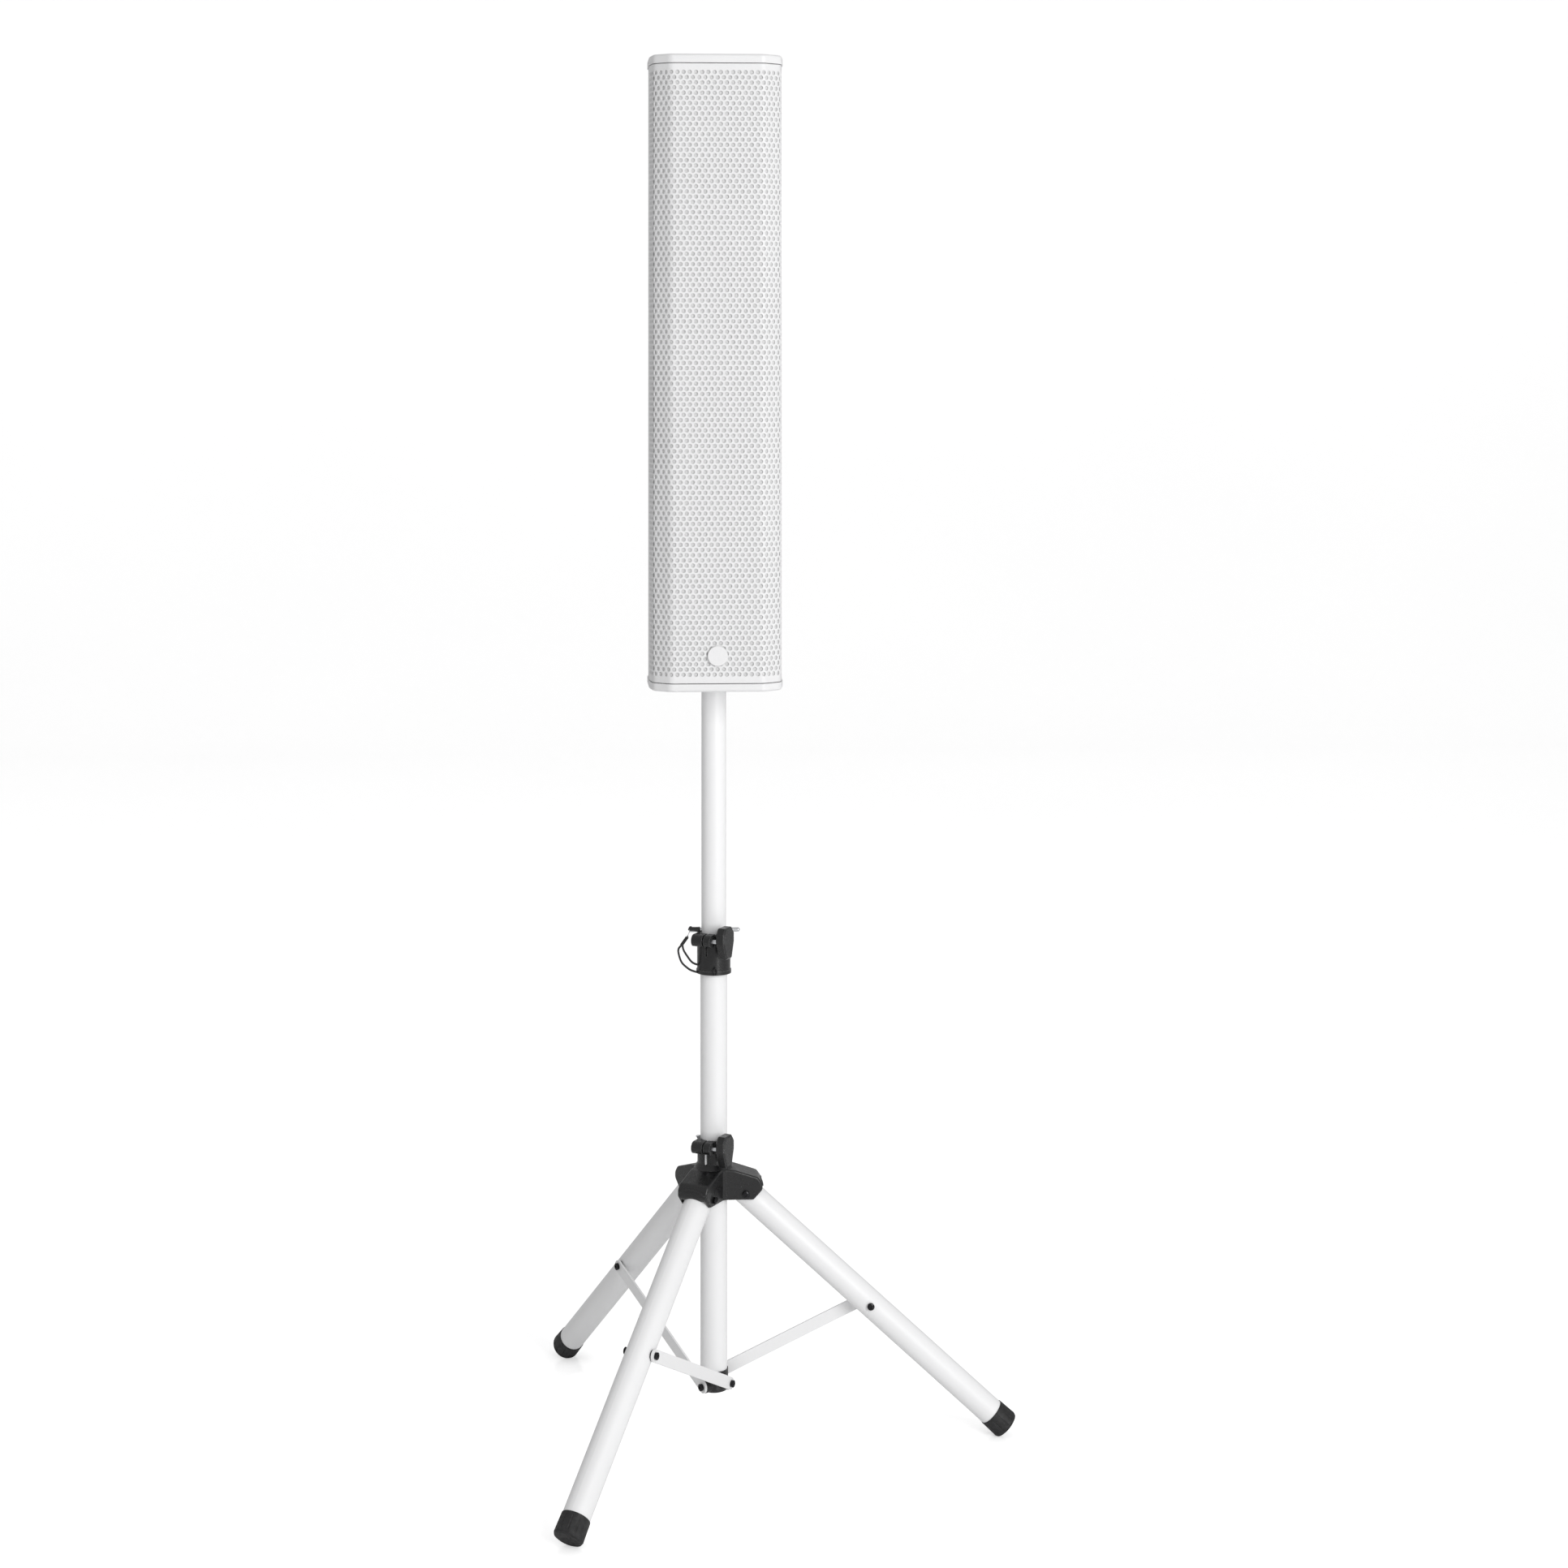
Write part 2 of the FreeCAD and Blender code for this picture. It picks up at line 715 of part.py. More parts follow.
def socket_places(height):
    return [(f"{side} * socket_spacing / 2", height) for side in (-1, 1)]


def twist_socket(name, place_at):
    """A round twist-lock inlet: an outer shroud, an annular gap and a keyed core."""
    across, height = place_at
    base = cylinder(name + "_base", "twist_radius", "plate_thickness + 1.5",
                    (across, "half_depth - plate_thickness", height), "+Y")
    gap = tube(name + "_gap", "11", "2.5", "6", (across, "half_depth - 1", height), "+Y")
    barrel = cylinder(name + "_barrel", "twist_barrel_radius", "twist_depth - plate_thickness",
                      (across, "half_depth - twist_depth", height), "+Y")
    key = box(name + "_key", "3", "1.5", "3.2", (across, "half_depth + 0.75", f"{height} + 9.4"))
    return fuse(name, [cut(name + "_shroud", base, gap), barrel, key])


def jack_socket(name, place_at):
    """A jack inlet with a plain bore for a quarter-inch plug."""
    across, height = place_at
    nut = cylinder(name + "_nut", "jack_nut_radius", "3", (across, "half_depth", height), "+Y")
    barrel = cylinder(name + "_barrel", "jack_barrel_radius", "jack_depth + 2",
                      (across, "half_depth - jack_depth", height), "+Y")
    bore = cylinder(name + "_bore", "jack_bore_radius", "jack_depth",
                    (across, "half_depth - jack_depth + 4", height), "+Y")
    return cut(name, fuse(name + "_body", [nut, barrel]), bore)


def rear_panel():
    """The input plate with its sockets and screws, set flush in the back of the shell."""
    slab = box("plate_slab", "plate_width", "plate_thickness", "plate_height",
               ("0", "half_depth - plate_thickness / 2", "plate_centre"))
    upper, lower = socket_places("plate_centre + socket_rise"), socket_places("plate_centre - socket_rise")
    twists = [twist_socket(f"twist_{index}", at) for index, at in enumerate(upper)]
    jacks = [jack_socket(f"jack_{index}", at) for index, at in enumerate(lower)]
    round_holes = [("twist_radius", at) for at in upper] + [("jack_barrel_radius", at) for at in lower]
    openings = [
        cylinder(f"plate_hole_{index}", radius, "wall * 2", (across, "half_depth - wall", height), "+Y")
        for index, (radius, (across, height)) in enumerate(round_holes)
    ]
    panel = slab
    for index, hole in enumerate(openings + plate_screw_cylinders(name="panel_hole")):
        panel = cut(f"panel_cut_{index}", panel, hole)
    keep(panel, "input_plate")
    keep(group("twist_group", twists), "input_sockets")
    keep(group("jack_group", jacks), "jack_sockets")
    shanks = plate_screw_cylinders(name="plate_screw_shank")
    heads = [
        cylinder(f"plate_screw_top_{corner}", "screw_head_radius", "plate_screw_head",
                 (across, "half_depth", height), "+Y")
        for corner, (across, height) in enumerate(plate_screw_places())
    ]
    screws = [fuse(f"plate_screw_{index}", pair) for index, pair in enumerate(zip(shanks, heads))]
    keep(group("plate_screw_group", screws), "plate_screws")


def crossover():
    """The dividing network: a board behind the lower woofers with coils, capacitors and resistors."""
    keep(box("board", "board_width", "board_thickness", "board_height",
             ("0", "board_face + board_thickness / 2", "plate_centre")), "crossover_board")
    pieces = [
        tube(f"choke_{index}", "choke_radius", "choke_wall", "choke_length",
             (across, "board_face - choke_length", f"plate_centre + {height}"), "+Y")
        for index, (across, height) in enumerate((("-22", "32"), ("20", "34")))
    ]
    pieces += [
        cylinder(f"capacitor_{index}", "capacitor_radius", "capacitor_length",
                 ("-capacitor_length / 2", "board_face - capacitor_radius", f"plate_centre - {drop}"), "+X")
        for index, drop in enumerate((2, 20, 38))
    ]
    pieces.append(box("resistor", "resistor_side", "resistor_side", "resistor_length",
                      ("32", "board_face - resistor_side / 2", "plate_centre - 22")))
    keep(group("component_group", pieces), "crossover_components")


def wadding():
    keep(box("wadding", "wadding_width", "wadding_depth", "wadding_height",
             ("0", "wadding_back", f"{COLUMN_MIDDLE} + wadding_rise")), "damping_wadding")


def wiring():
    """A loom up the left side with a branch to each driver and one to the crossover."""
    trunk = cylinder("loom_trunk", "loom_radius", f"{woofer_height(1.5)} + loom_radius - plate_centre + 15",
                     ("-loom_across", "0", "plate_centre - 15"))
    targets = [(woofer_height(row), "magnet_radius") for row in WOOFER_ROWS]
    targets.append((COLUMN_MIDDLE, "driver_radius"))
    branches = [
        cylinder(f"loom_branch_{index}", "loom_radius", f"loom_across - {radius} - 0.3",
                 ("-loom_across", "0", height), "+X")
        for index, (height, radius) in enumerate(targets)
    ]
    branches.append(cylinder("loom_back", "loom_radius", "board_face - 0.2",
                             ("-loom_across", "0", "plate_centre - 13"), "+Y"))
    branches.append(cylinder("loom_board", "loom_radius", "19",
                             ("-loom_across", "board_face - 3", "plate_centre - 13"), "+X"))
    keep(fuse("loom", [trunk] + branches), "wiring_loom")


def pole_socket():
    """The cup that the pole stands in, flanged on the inside of the bottom cap."""
    bore = "pole_radius + pole_clearance"
    profile = [(bore, "0"), ("pole_radius + 4", "0"), ("pole_radius + 4", "bottom_cap_height"),
               ("pole_radius + 17", "bottom_cap_height"), ("pole_radius + 17", "bottom_cap_height + 3"),
               ("pole_radius + 4", "bottom_cap_height + 3"), ("pole_radius + 4", "socket_depth + 4"),
               ("0", "socket_depth + 4"), ("0", "socket_depth + pole_clearance"),
               (bore, "socket_depth + pole_clearance")]
    keep(turned("pole_socket", profile, ("0", "0", "column_bottom")), "pole_socket")


# ---------------------------------------------------------------- placing in a turned frame


def about_mast(azimuth):
    return FreeCAD.Placement(FreeCAD.Vector(), FreeCAD.Rotation(Z_AXIS, azimuth))


def leg_frame(azimuth):
    """The leg's own frame: origin at its pivot, +Z up the leg, +Y across it."""
    pivot = FreeCAD.Vector(number("leg_pivot_out"), 0, number("leg_pivot_height"))
    tilt = FreeCAD.Rotation(Y_AXIS, -number("leg_angle"))
    return about_mast(azimuth) * FreeCAD.Placement(pivot, tilt)


def brace_frame(azimuth):
    """The brace's own frame: origin at its lower pivot, +Z along the brace."""
    pivot = FreeCAD.Vector(number("bracket_out"), 0, number("bracket_pivot_height"))
    tilt = FreeCAD.Rotation(Y_AXIS, number("brace_angle"))
    return about_mast(azimuth) * FreeCAD.Placement(pivot, tilt)


def turn_to(obj, placement):
    """Place a finished shape by a turned frame worked out from the sheet."""
    obj.Placement = placement
    return obj


# ---------------------------------------------------------------- pole, mast and clamps


def pole():
    """The inner pole with a row of pin holes, and the glide plug in its lower end."""
    bottom = "(column_bottom + socket_depth - pole_length)"
    shaft = tube("pole_shaft", "pole_radius", "pole_wall", "pole_length", ("0", "0", bottom))
    for step in range(PIN_HOLES):
        height = f"pin_height + {step} * pole_travel / {PIN_HOLES - 1}"
        hole = cylinder(f"pin_hole_{step}", "pin_radius + 0.2", "pole_radius * 4",
                        ("-pole_radius * 2", "0", height), "+X")
        shaft = cut(f"pole_drilled_{step}", shaft, hole)
    keep(shaft, "inner_pole")
    inside = "pole_radius - pole_wall"
    profile = [("0", "-3"), ("pole_radius", "-3"), ("pole_radius", "0"), (inside, "0"), (inside, "18"),
               ("0", "18")]
    keep(turned("glide_plug", profile, ("0", "0", bottom)), "pole_glide_plug")


def mast():
    keep(tube("mast", "mast_radius", "mast_wall", "mast_top - mast_bottom", ("0", "0", "mast_bottom")),
         "mast_tube")


def clamp_ears(name, height):
    """Two ears beside the slit, in a frame whose X axis points along the slit."""
    ears = []
    for side, start, length in (("nut", "-(slit_width / 2 + nut_ear_length)", "nut_ear_length"),
                                ("bolt", "slit_width / 2", "bolt_ear_length")):
        boss = cylinder(f"{name}_{side}_boss", "ear_radius", length, ("clamp_out", start, height), "+Y")
        root = box(f"{name}_{side}_root", "clamp_out - mast_radius + 2", length, "ear_radius * 2",
                   ("(clamp_out + mast_radius - 2) / 2", f"{start} + {length} / 2", height))
        ears += [boss, root]
    return ears


def clamp_openings(name, height, bottom, top):
    """The slit, the bolt's hole and the nut's pocket of a clamp."""
    slit = box(f"{name}_slit", "clamp_out * 2", "slit_width", f"{top} - ({bottom}) + 2",
               ("clamp_out", "0", f"({top} + ({bottom})) / 2 + 1"))
    bolt_hole = cylinder(f"{name}_bolt_hole", "clamp_bolt_radius + 0.2", "80", ("clamp_out", "-40", height),
                         "+Y")
    pocket = nut_prism(f"{name}_pocket", "5.8", height)
    return [slit, bolt_hole, pocket]


def nut_prism(name, size, height):
    """A hexagon at the outer end of the nut ear."""
    obj = doc.addObject("Part::Prism", name)
    obj.Polygon = 6
    bind(obj, Circumradius=size, Height="5")
    return place(obj, ("clamp_out", "-(slit_width / 2 + nut_ear_length)", height), "+Y")


def clamp_nut(name, height):
    bore = cylinder(f"{name}_bore", "clamp_bolt_radius + turning_clearance", "80",
                    ("clamp_out", "-40", height), "+Y")
    nut = cut(name, nut_prism(f"{name}_hexagon", "5.8", height), bore)
    return keep(turn_to(nut, about_mast(CLAMP_AZIMUTH)), name)


def clamp_bolt(name, height):
    rod = cylinder(f"{name}_rod", "clamp_bolt_radius", "knob_reach + 8 + nut_ear_length",
                   ("clamp_out", "-nut_ear_length", height), "+Y")
    shaft = group(f"{name}_group", [rod])
    return keep(turn_to(shaft, about_mast(CLAMP_AZIMUTH)), name)


def wing_knob(name, height):
    """A long faceted grip, wide above its bolt and narrow below, with bevelled edges."""
    half, tall = "knob_width / 2", "knob_height / 2"
    profile = [(f"-{half} * 0.55", f"-{tall}"), (f"{half} * 0.45", f"-{tall}"), (half, "1"),
               (half, f"{tall} - knob_shoulder"), (f"{half} * 0.6", tall), (f"-{half} * 0.6", tall),
               (f"-{half}", f"{tall} - knob_shoulder"), (f"-{half}", "1")]
    body = plate(name + "_body", profile, "knob_thickness", "XZ_Plane")
    doc.recompute()
    bevel = body.newObject("PartDesign::Chamfer", name + "_bevel")
    pad = body.Tip if body.Tip.TypeId == "PartDesign::Pad" else body.Group[-2]
    faces = pad.Shape.Faces
    outer = min(range(len(faces)), key=lambda index: faces[index].CenterOfMass.y)
    inner = max(range(len(faces)), key=lambda index: faces[index].CenterOfMass.y)
    bevel.Base = (pad, [f"Face{outer + 1}", f"Face{inner + 1}"])
    bind(bevel, Size="knob_bevel")
    body.Tip = bevel
    place(body, ("clamp_out", "knob_reach + knob_thickness", height))
    hole = cylinder(f"{name}_hole", "clamp_bolt_radius", "9", ("clamp_out", "knob_reach - 1", height), "+Y")
    knob = cut(name, body, hole)
    return keep(turn_to(knob, about_mast(CLAMP_AZIMUTH)), name)


def upper_collar():
    """Clamp collar: its lower bore grips the mast and its slit upper part clamps the pole."""
    barrel = cylinder("collar_barrel", "collar_radius", "collar_top - collar_bottom",
                      ("0", "0", "collar_bottom"))
    foot_ring = cylinder("collar_foot", "collar_radius + 1.2", "5", ("0", "0", "collar_bottom"))
    solid = fuse("collar_solid", [barrel, foot_ring] + clamp_ears("collar", "clamp_height"))
    mast_bore = cylinder("collar_mast_bore", "mast_radius", "mast_top - collar_bottom + 1",
                         ("0", "0", "collar_bottom - 1"))
    pole_bore = cylinder("collar_pole_bore", "pole_radius + pole_clearance",
                         "collar_top - collar_bottom + ear_radius", ("0", "0", "collar_bottom - 1"))
    openings = clamp_openings("collar", "clamp_height", "collar_top - 30", "collar_top")
    cuts = [mast_bore, pole_bore] + openings
    for index, opening in enumerate(cuts):
        solid = cut(f"collar_cut_{index}", solid, opening)
    keep(turn_to(solid, about_mast(CLAMP_AZIMUTH)), "upper_collar")


def safety_pin():
    """Steel cross pin through the pole, with a black grip at its outer end."""
    rod = cylinder("pin_rod", "pin_radius", "pin_reach * 2 - 12", ("-pin_reach + 10", "0", "pin_height"),
                   "+X")
    tip = doc.addObject("Part::Sphere", "pin_tip")
    bind(tip, Radius="pin_radius")
    place(tip, ("pin_reach - 2", "0", "pin_height"))
    keep(fuse("pin", [rod, tip]), "safety_pin")
    grip = [("pin_radius", "0"), ("pin_grip_radius", "0"), ("pin_grip_radius", "pin_grip_length - 2"),
            ("pin_radius", "pin_grip_length"), ("0", "pin_grip_length"), ("0", "8"), ("pin_radius", "8")]
    body = turned("pin_grip_body", grip)
    body.Placement = FreeCAD.Placement(
        FreeCAD.Vector(-number("pin_reach") + 18, 0, number("pin_height")), FreeCAD.Rotation(Y_AXIS, -90))
    keep(body, "pin_grip")


def lanyard():
    """The strap's loop from the foot of the collar up towards the pin's grip."""
    loop = doc.addObject("Part::Torus", "lanyard_loop")
    bind(loop, Radius1="lanyard_radius", Radius2="lanyard_thickness")
    loop.Angle3 = LANYARD_SWEEP
    centre = FreeCAD.Vector(number("lanyard_across"), 0, number("lanyard_height"))
    loop.Placement = FreeCAD.Placement(centre, TURNS["-Y"] * FreeCAD.Rotation(Z_AXIS, LANYARD_START))
    keep(loop, "pin_lanyard")


# ---------------------------------------------------------------- the sliding hub


def named_edges(shape):
    return [(f"Edge{index}", edge) for index, edge in enumerate(shape.Edges, start=1)]


def round_edges(body, name, edge_names, radius):
    """A fillet on the body's present shape."""
    base = body.Tip
    rounded = body.newObject("PartDesign::Fillet", name)
    rounded.Base = (base, edge_names)
    bind(rounded, Radius=radius)
    body.Tip = rounded
    doc.recompute()


def hub_arm(name):
    """One arm's solid, seen from the side as a sloping roof with a cut-back nose."""
    nose, root = "leg_pivot_out + arm_reach", "hub_core_radius / 3"
    profile = [(root, "hub_bottom"), (f"{nose} - 12", "hub_bottom"), (nose, "hub_bottom + arm_nose_low"),
               (nose, "hub_bottom + arm_nose_high"), (f"{nose} - 6", "hub_bottom + arm_roof_low"),
               ("hub_core_radius + 1", "hub_bottom + arm_roof_high"),
               (root, "hub_bottom + arm_roof_high + 3")]
    body = plate(name, profile, "arm_half_width * 2", "XZ_Plane", midplane=True)
    doc.recompute()
    nose_edges = []
    for edge_name, edge in named_edges(body.Tip.Shape):
        crosswise = abs(edge.Vertexes[0].Y - edge.Vertexes[1].Y) > 1
        if crosswise and edge.CenterOfMass.x > number("hub_radius * 2") \
                and edge.CenterOfMass.z > number("hub_bottom") + 1:
            nose_edges.append(edge_name)
    round_edges(body, name + "_nose", nose_edges, "arm_nose_radius")
    roof_edges = []
    for edge_name, edge in named_edges(body.Tip.Shape):
        on_side = all(abs(abs(vertex.Y) - number("arm_half_width")) < 1e-6 for vertex in edge.Vertexes)
        lengthwise = abs(edge.Vertexes[0].Y - edge.Vertexes[1].Y) < 1e-6
        if on_side and lengthwise and edge.CenterOfMass.z > number("hub_bottom + arm_nose_low"):
            roof_edges.append(edge_name)
    round_edges(body, name + "_roof", roof_edges, "arm_roof_radius")
    return body


def leg_room(name):
    """The space one leg needs in its arm: its rest position, its swing and its folded position."""
    wide = "(leg_radius + leg_room)"
    reach = FreeCAD.Vector(0, 0, -number("leg_pivot_out") * 2)
    resting = cylinder(name + "_rest", wide, "leg_pivot_out * 2")
    resting.Placement = leg_frame(0) * FreeCAD.Placement(reach, FreeCAD.Rotation())
    swing = cylinder(name + "_swing", wide + " + 0.8", f"{wide} * 2",
                     ("leg_pivot_out", f"-{wide}", "leg_pivot_height"), "+Y")
    inner, deep = f"leg_pivot_out - {wide} - 0.6", "hub_bottom - 20"
    side = [(inner, "leg_pivot_height"), (inner, deep), ("leg_pivot_out * 2", deep),
            ("leg_pivot_out * 2", "leg_pivot_height - 26"), (f"leg_pivot_out + {wide}", "leg_pivot_height")]
    below = plate(name + "_below", side, f"{wide} * 2", "XZ_Plane", midplane=True)
    return fuse(name, [resting, swing, below])


def hub():
    """Sleeve, clamp and three hollow arms in one moulding."""
    sleeve = cylinder("hub_sleeve", "hub_radius", "hub_top - hub_bottom", ("0", "0", "hub_bottom"))
    core = cylinder("hub_core", "hub_core_radius", "hub_core_height", ("0", "0", "hub_bottom"))
    shoulder = doc.addObject("Part::Cone", "hub_shoulder")
    bind(shoulder, Radius1="hub_core_radius", Radius2="hub_radius", Height="hub_shoulder")
    place(shoulder, ("0", "0", "hub_bottom + hub_core_height"))
    ears = fuse("hub_ears", clamp_ears("hub", "hub_clamp_height"))
    ears.Placement = about_mast(CLAMP_AZIMUTH)
    arms = [turn_to(hub_arm(f"hub_arm_{index}"), about_mast(azimuth))
            for index, azimuth in enumerate(LEG_AZIMUTHS, start=1)]
    solid = fuse("hub_solid", [sleeve, core, shoulder, ears] + arms)
    bore = cylinder("hub_bore", "mast_radius + hub_clearance", "hub_top - hub_bottom + 2",
                    ("0", "0", "hub_bottom - 1"))
    slots = clamp_openings("hub", "hub_clamp_height", "hub_top - 34", "hub_top")
    openings = fuse("hub_clamp_openings", slots)
    openings.Placement = about_mast(CLAMP_AZIMUTH)
    cuts = [bore, openings]
    for index, azimuth in enumerate(LEG_AZIMUTHS, start=1):
        pivot_hole = cylinder(f"hub_pivot_hole_{index}", "bolt_radius", "arm_half_width * 2 + 10",
                              ("leg_pivot_out", "-arm_half_width - 5", "leg_pivot_height"), "+Y")
        tools = fuse(f"hub_tools_{index}", [leg_room(f"leg_room_{index}"), pivot_hole])
        cuts.append(turn_to(tools, about_mast(azimuth)))
    for index, opening in enumerate(cuts):
        solid = cut(f"hub_cut_{index}", solid, opening)
    keep(solid, "lower_hub")


def pivot_bolts():
    """The bolts that the legs turn on, with a head on one side of the arm and a nut on the other."""
    bolts = []
    for index, azimuth in enumerate(LEG_AZIMUTHS, start=1):
        shank = cylinder(f"pivot_shank_{index}", "bolt_radius", "arm_half_width * 2",
                         ("leg_pivot_out", "-arm_half_width", "leg_pivot_height"), "+Y")
        head = cylinder(f"pivot_head_{index}", "bolt_head_radius", "bolt_head_height",
                        ("leg_pivot_out", "-arm_half_width - bolt_head_height", "leg_pivot_height"), "+Y")
        nut = cylinder(f"pivot_nut_{index}", "bolt_head_radius", "bolt_head_height",
                       ("leg_pivot_out", "arm_half_width", "leg_pivot_height"), "+Y")
        bolts.append(turn_to(fuse(f"pivot_bolt_{index}", [shank, head, nut]), about_mast(azimuth)))
    keep(group("pivot_bolt_group", bolts), "leg_pivot_bolts")


# ---------------------------------------------------------------- legs and braces


def flute_place(step):
    """Where one of the foot's upright flutes stands, in the leg's own frame."""
    turn = FreeCAD.Rotation(Z_AXIS, (step + 0.5) * 360 / FOOT_FLUTES)
    edge = FreeCAD.Vector(number("foot_radius") + 0.7, 0, 6 - number("leg_length"))
    return FreeCAD.Placement(FreeCAD.Vector(), turn) * FreeCAD.Placement(edge, FreeCAD.Rotation())


def leg(index, azimuth):
    """One leg: tube, rubber foot trimmed flat to the floor, and the stud that its brace bolts to."""
    frame = leg_frame(azimuth)
    prefix = f"leg_{index}"
    low_end = "-(leg_length - 3)"
    shaft = tube(f"{prefix}_shaft", "leg_radius", "leg_wall", "leg_length - 3 + leg_end",
                 ("0", "0", low_end))
    pivot_hole = cylinder(f"{prefix}_pivot_hole", "bolt_radius + turning_clearance", "leg_radius * 4",
                          ("0", "-leg_radius * 2", "0"), "+Y")
    stud_hole = cylinder(f"{prefix}_stud_hole", "bolt_radius", "leg_radius * 4",
                         ("0", "-leg_radius * 2", "-brace_on_leg"), "+Y")
    shaft = cut(f"{prefix}_drilled", cut(f"{prefix}_pivoted", shaft, pivot_hole), stud_hole)
    keep(turn_to(shaft, frame), f"{prefix}_tube")

    profile = [("0", "0"), ("foot_radius - 4", "0"), ("foot_radius - 1.2", "1.2"), ("foot_radius", "4"),
               ("leg_radius + 0.9", "foot_length"), ("leg_radius", "foot_length"), ("leg_radius", "3"),
               ("0", "3")]
    cup = turned(f"{prefix}_cup", profile, ("0", "0", "-leg_length"))
    flutes = [
        turn_to(cylinder(f"{prefix}_flute_{step}", "flute_radius", "foot_length - 10"), flute_place(step))
        for step in range(FOOT_FLUTES)
    ]
    fluted = turn_to(cut(f"{prefix}_fluted", cup, group(f"{prefix}_flutes", flutes)), frame)
    floor = box(f"{prefix}_floor", "leg_length * 4", "leg_length * 4", "100", ("0", "0", "-50"))
    keep(cut(f"{prefix}_flat_foot", fluted, floor), f"{prefix}_foot")

    shank = cylinder(f"{prefix}_stud_shank", "bolt_radius", "leg_radius + brace_inside - pivot_gap",
                     ("0", "-leg_radius", "-brace_on_leg"), "+Y")
    head = cylinder(f"{prefix}_stud_head", "bolt_head_radius", "bolt_head_height",
                    ("0", "-leg_radius - bolt_head_height", "-brace_on_leg"), "+Y")
    spacer = cylinder(f"{prefix}_stud_spacer", "bolt_radius * 2 + 1", "brace_inside - pivot_gap - leg_radius",
                      ("0", "leg_radius", "-brace_on_leg"), "+Y")
    keep(turn_to(fuse(f"{prefix}_stud_body", [shank, head, spacer]), frame), f"{prefix}_brace_stud")


def brace(index, azimuth):
    """A flat bar with round ends, and the bolt head riveted to its outer end."""
    frame = brace_frame(azimuth)
    prefix = f"brace_{index}"
    bar = box(f"{prefix}_bar", "brace_half_width * 2", "brace_thickness", "brace_length",
              ("0", "brace_inside + brace_thickness / 2", "brace_length / 2"))
    ends = [
        cylinder(f"{prefix}_end_{at}", "brace_half_width", "brace_thickness", ("0", "brace_inside", height),
                 "+Y")
        for at, height in enumerate(("0", "brace_length"))
    ]
    low_hole = cylinder(f"{prefix}_low_hole", "bolt_radius + turning_clearance", "60",
                        ("0", "0", "0"), "+Y")
    high_hole = cylinder(f"{prefix}_high_hole", "bolt_radius", "60", ("0", "0", "brace_length"), "+Y")
    solid = fuse(f"{prefix}_solid", [bar] + ends)
    drilled = cut(f"{prefix}_drilled", cut(f"{prefix}_part", solid, low_hole), high_hole)
    keep(turn_to(drilled, frame), prefix)
    shank = cylinder(f"{prefix}_bolt_shank", "bolt_radius", "brace_thickness",
                     ("0", "brace_inside", "brace_length"), "+Y")
    head = cylinder(f"{prefix}_bolt_head", "bolt_head_radius", "bolt_head_height",
                    ("0", "brace_inside + brace_thickness", "brace_length"), "+Y")
    keep(turn_to(fuse(f"{prefix}_bolt_body", [shank, head]), frame), f"{prefix}_outer_bolt")


def bottom_bracket():
    """The cup on the mast's lower end, with a boss and a bolt for each brace."""
    height, softness = "bracket_top - bracket_bottom", "bracket_radius / 4"
    profile = [("0", "0"), (f"bracket_radius - {softness}", "0"),
               (f"bracket_radius - {softness} * 0.3", f"{softness} * 0.3"),
               ("bracket_radius", softness), ("bracket_radius", height), ("0", height)]
    cup = turned("bracket_cup", profile, ("0", "0", "bracket_bottom"))
    pivot = ("bracket_out", "0", "bracket_pivot_height")
    bosses = []
    bolts = []
    for index, azimuth in enumerate(LEG_AZIMUTHS, start=1):
        boss = cylinder(f"boss_{index}", "9", "brace_inside - pivot_gap", pivot, "+Y")
        bosses.append(turn_to(group(f"boss_turned_{index}", [boss]), about_mast(azimuth)))
        shank = cylinder(f"bracket_shank_{index}", "bolt_radius",
                         "brace_thickness + brace_inside - mast_radius - 0.2 + pivot_gap",
                         ("bracket_out", "mast_radius + 0.2", "bracket_pivot_height"), "+Y")
        outside = "brace_inside + brace_thickness + pivot_gap"
        head = cylinder(f"bracket_head_{index}", "bolt_head_radius", "bolt_head_height",
                        ("bracket_out", outside, "bracket_pivot_height"), "+Y")
        bolts.append(turn_to(fuse(f"bracket_bolt_{index}", [shank, head]), about_mast(azimuth)))
    mast_space = cylinder("bracket_bore", "mast_radius", "bracket_top", ("0", "0", "mast_bottom"))
    bolt_group = keep(group("bracket_bolt_group", bolts), "bracket_bolts")
    solid = cut("bracket_bored", fuse("bracket_solid", [cup] + bosses), mast_space)
    keep(cut("bracket_drilled", solid, bolt_group), "bottom_bracket")


# ---------------------------------------------------------------- assembly, checks and export


def build():
    caps_and_shell()
    bracket_inserts()
    grille_and_foam()
    badge()
    drivers()
    rear_panel()
    crossover()
    wadding()
    wiring()
    pole_socket()
    pole()
    mast()
    upper_collar()
    for side, height in (("upper", "clamp_height"), ("lower", "hub_clamp_height")):
        wing_knob(f"{side}_knob", height)
        clamp_bolt(f"{side}_clamp_bolt", height)
        clamp_nut(f"{side}_clamp_nut", height)
    safety_pin()
    lanyard()
    hub()
    pivot_bolts()
    for index, azimuth in enumerate(LEG_AZIMUTHS, start=1):
        leg(index, azimuth)
        brace(index, azimuth)
    bottom_bracket()


def check():
    """Stop if any object failed to compute or any sub-part isn't a valid solid."""
    failed = [obj.Name for obj in doc.Objects if {"Invalid", "Error"} & set(obj.State)]
    for part in kept_parts:
        shape = part.Shape
        if shape.isNull() or not shape.isValid() or not shape.Solids or shape.Volume <= 0:
            failed.append(part.Label)
    labels = [part.Label for part in kept_parts]
    failed += [label for label in labels if labels.count(label) > 1]
    if failed:
        sys.exit("failed objects: " + ", ".join(failed))


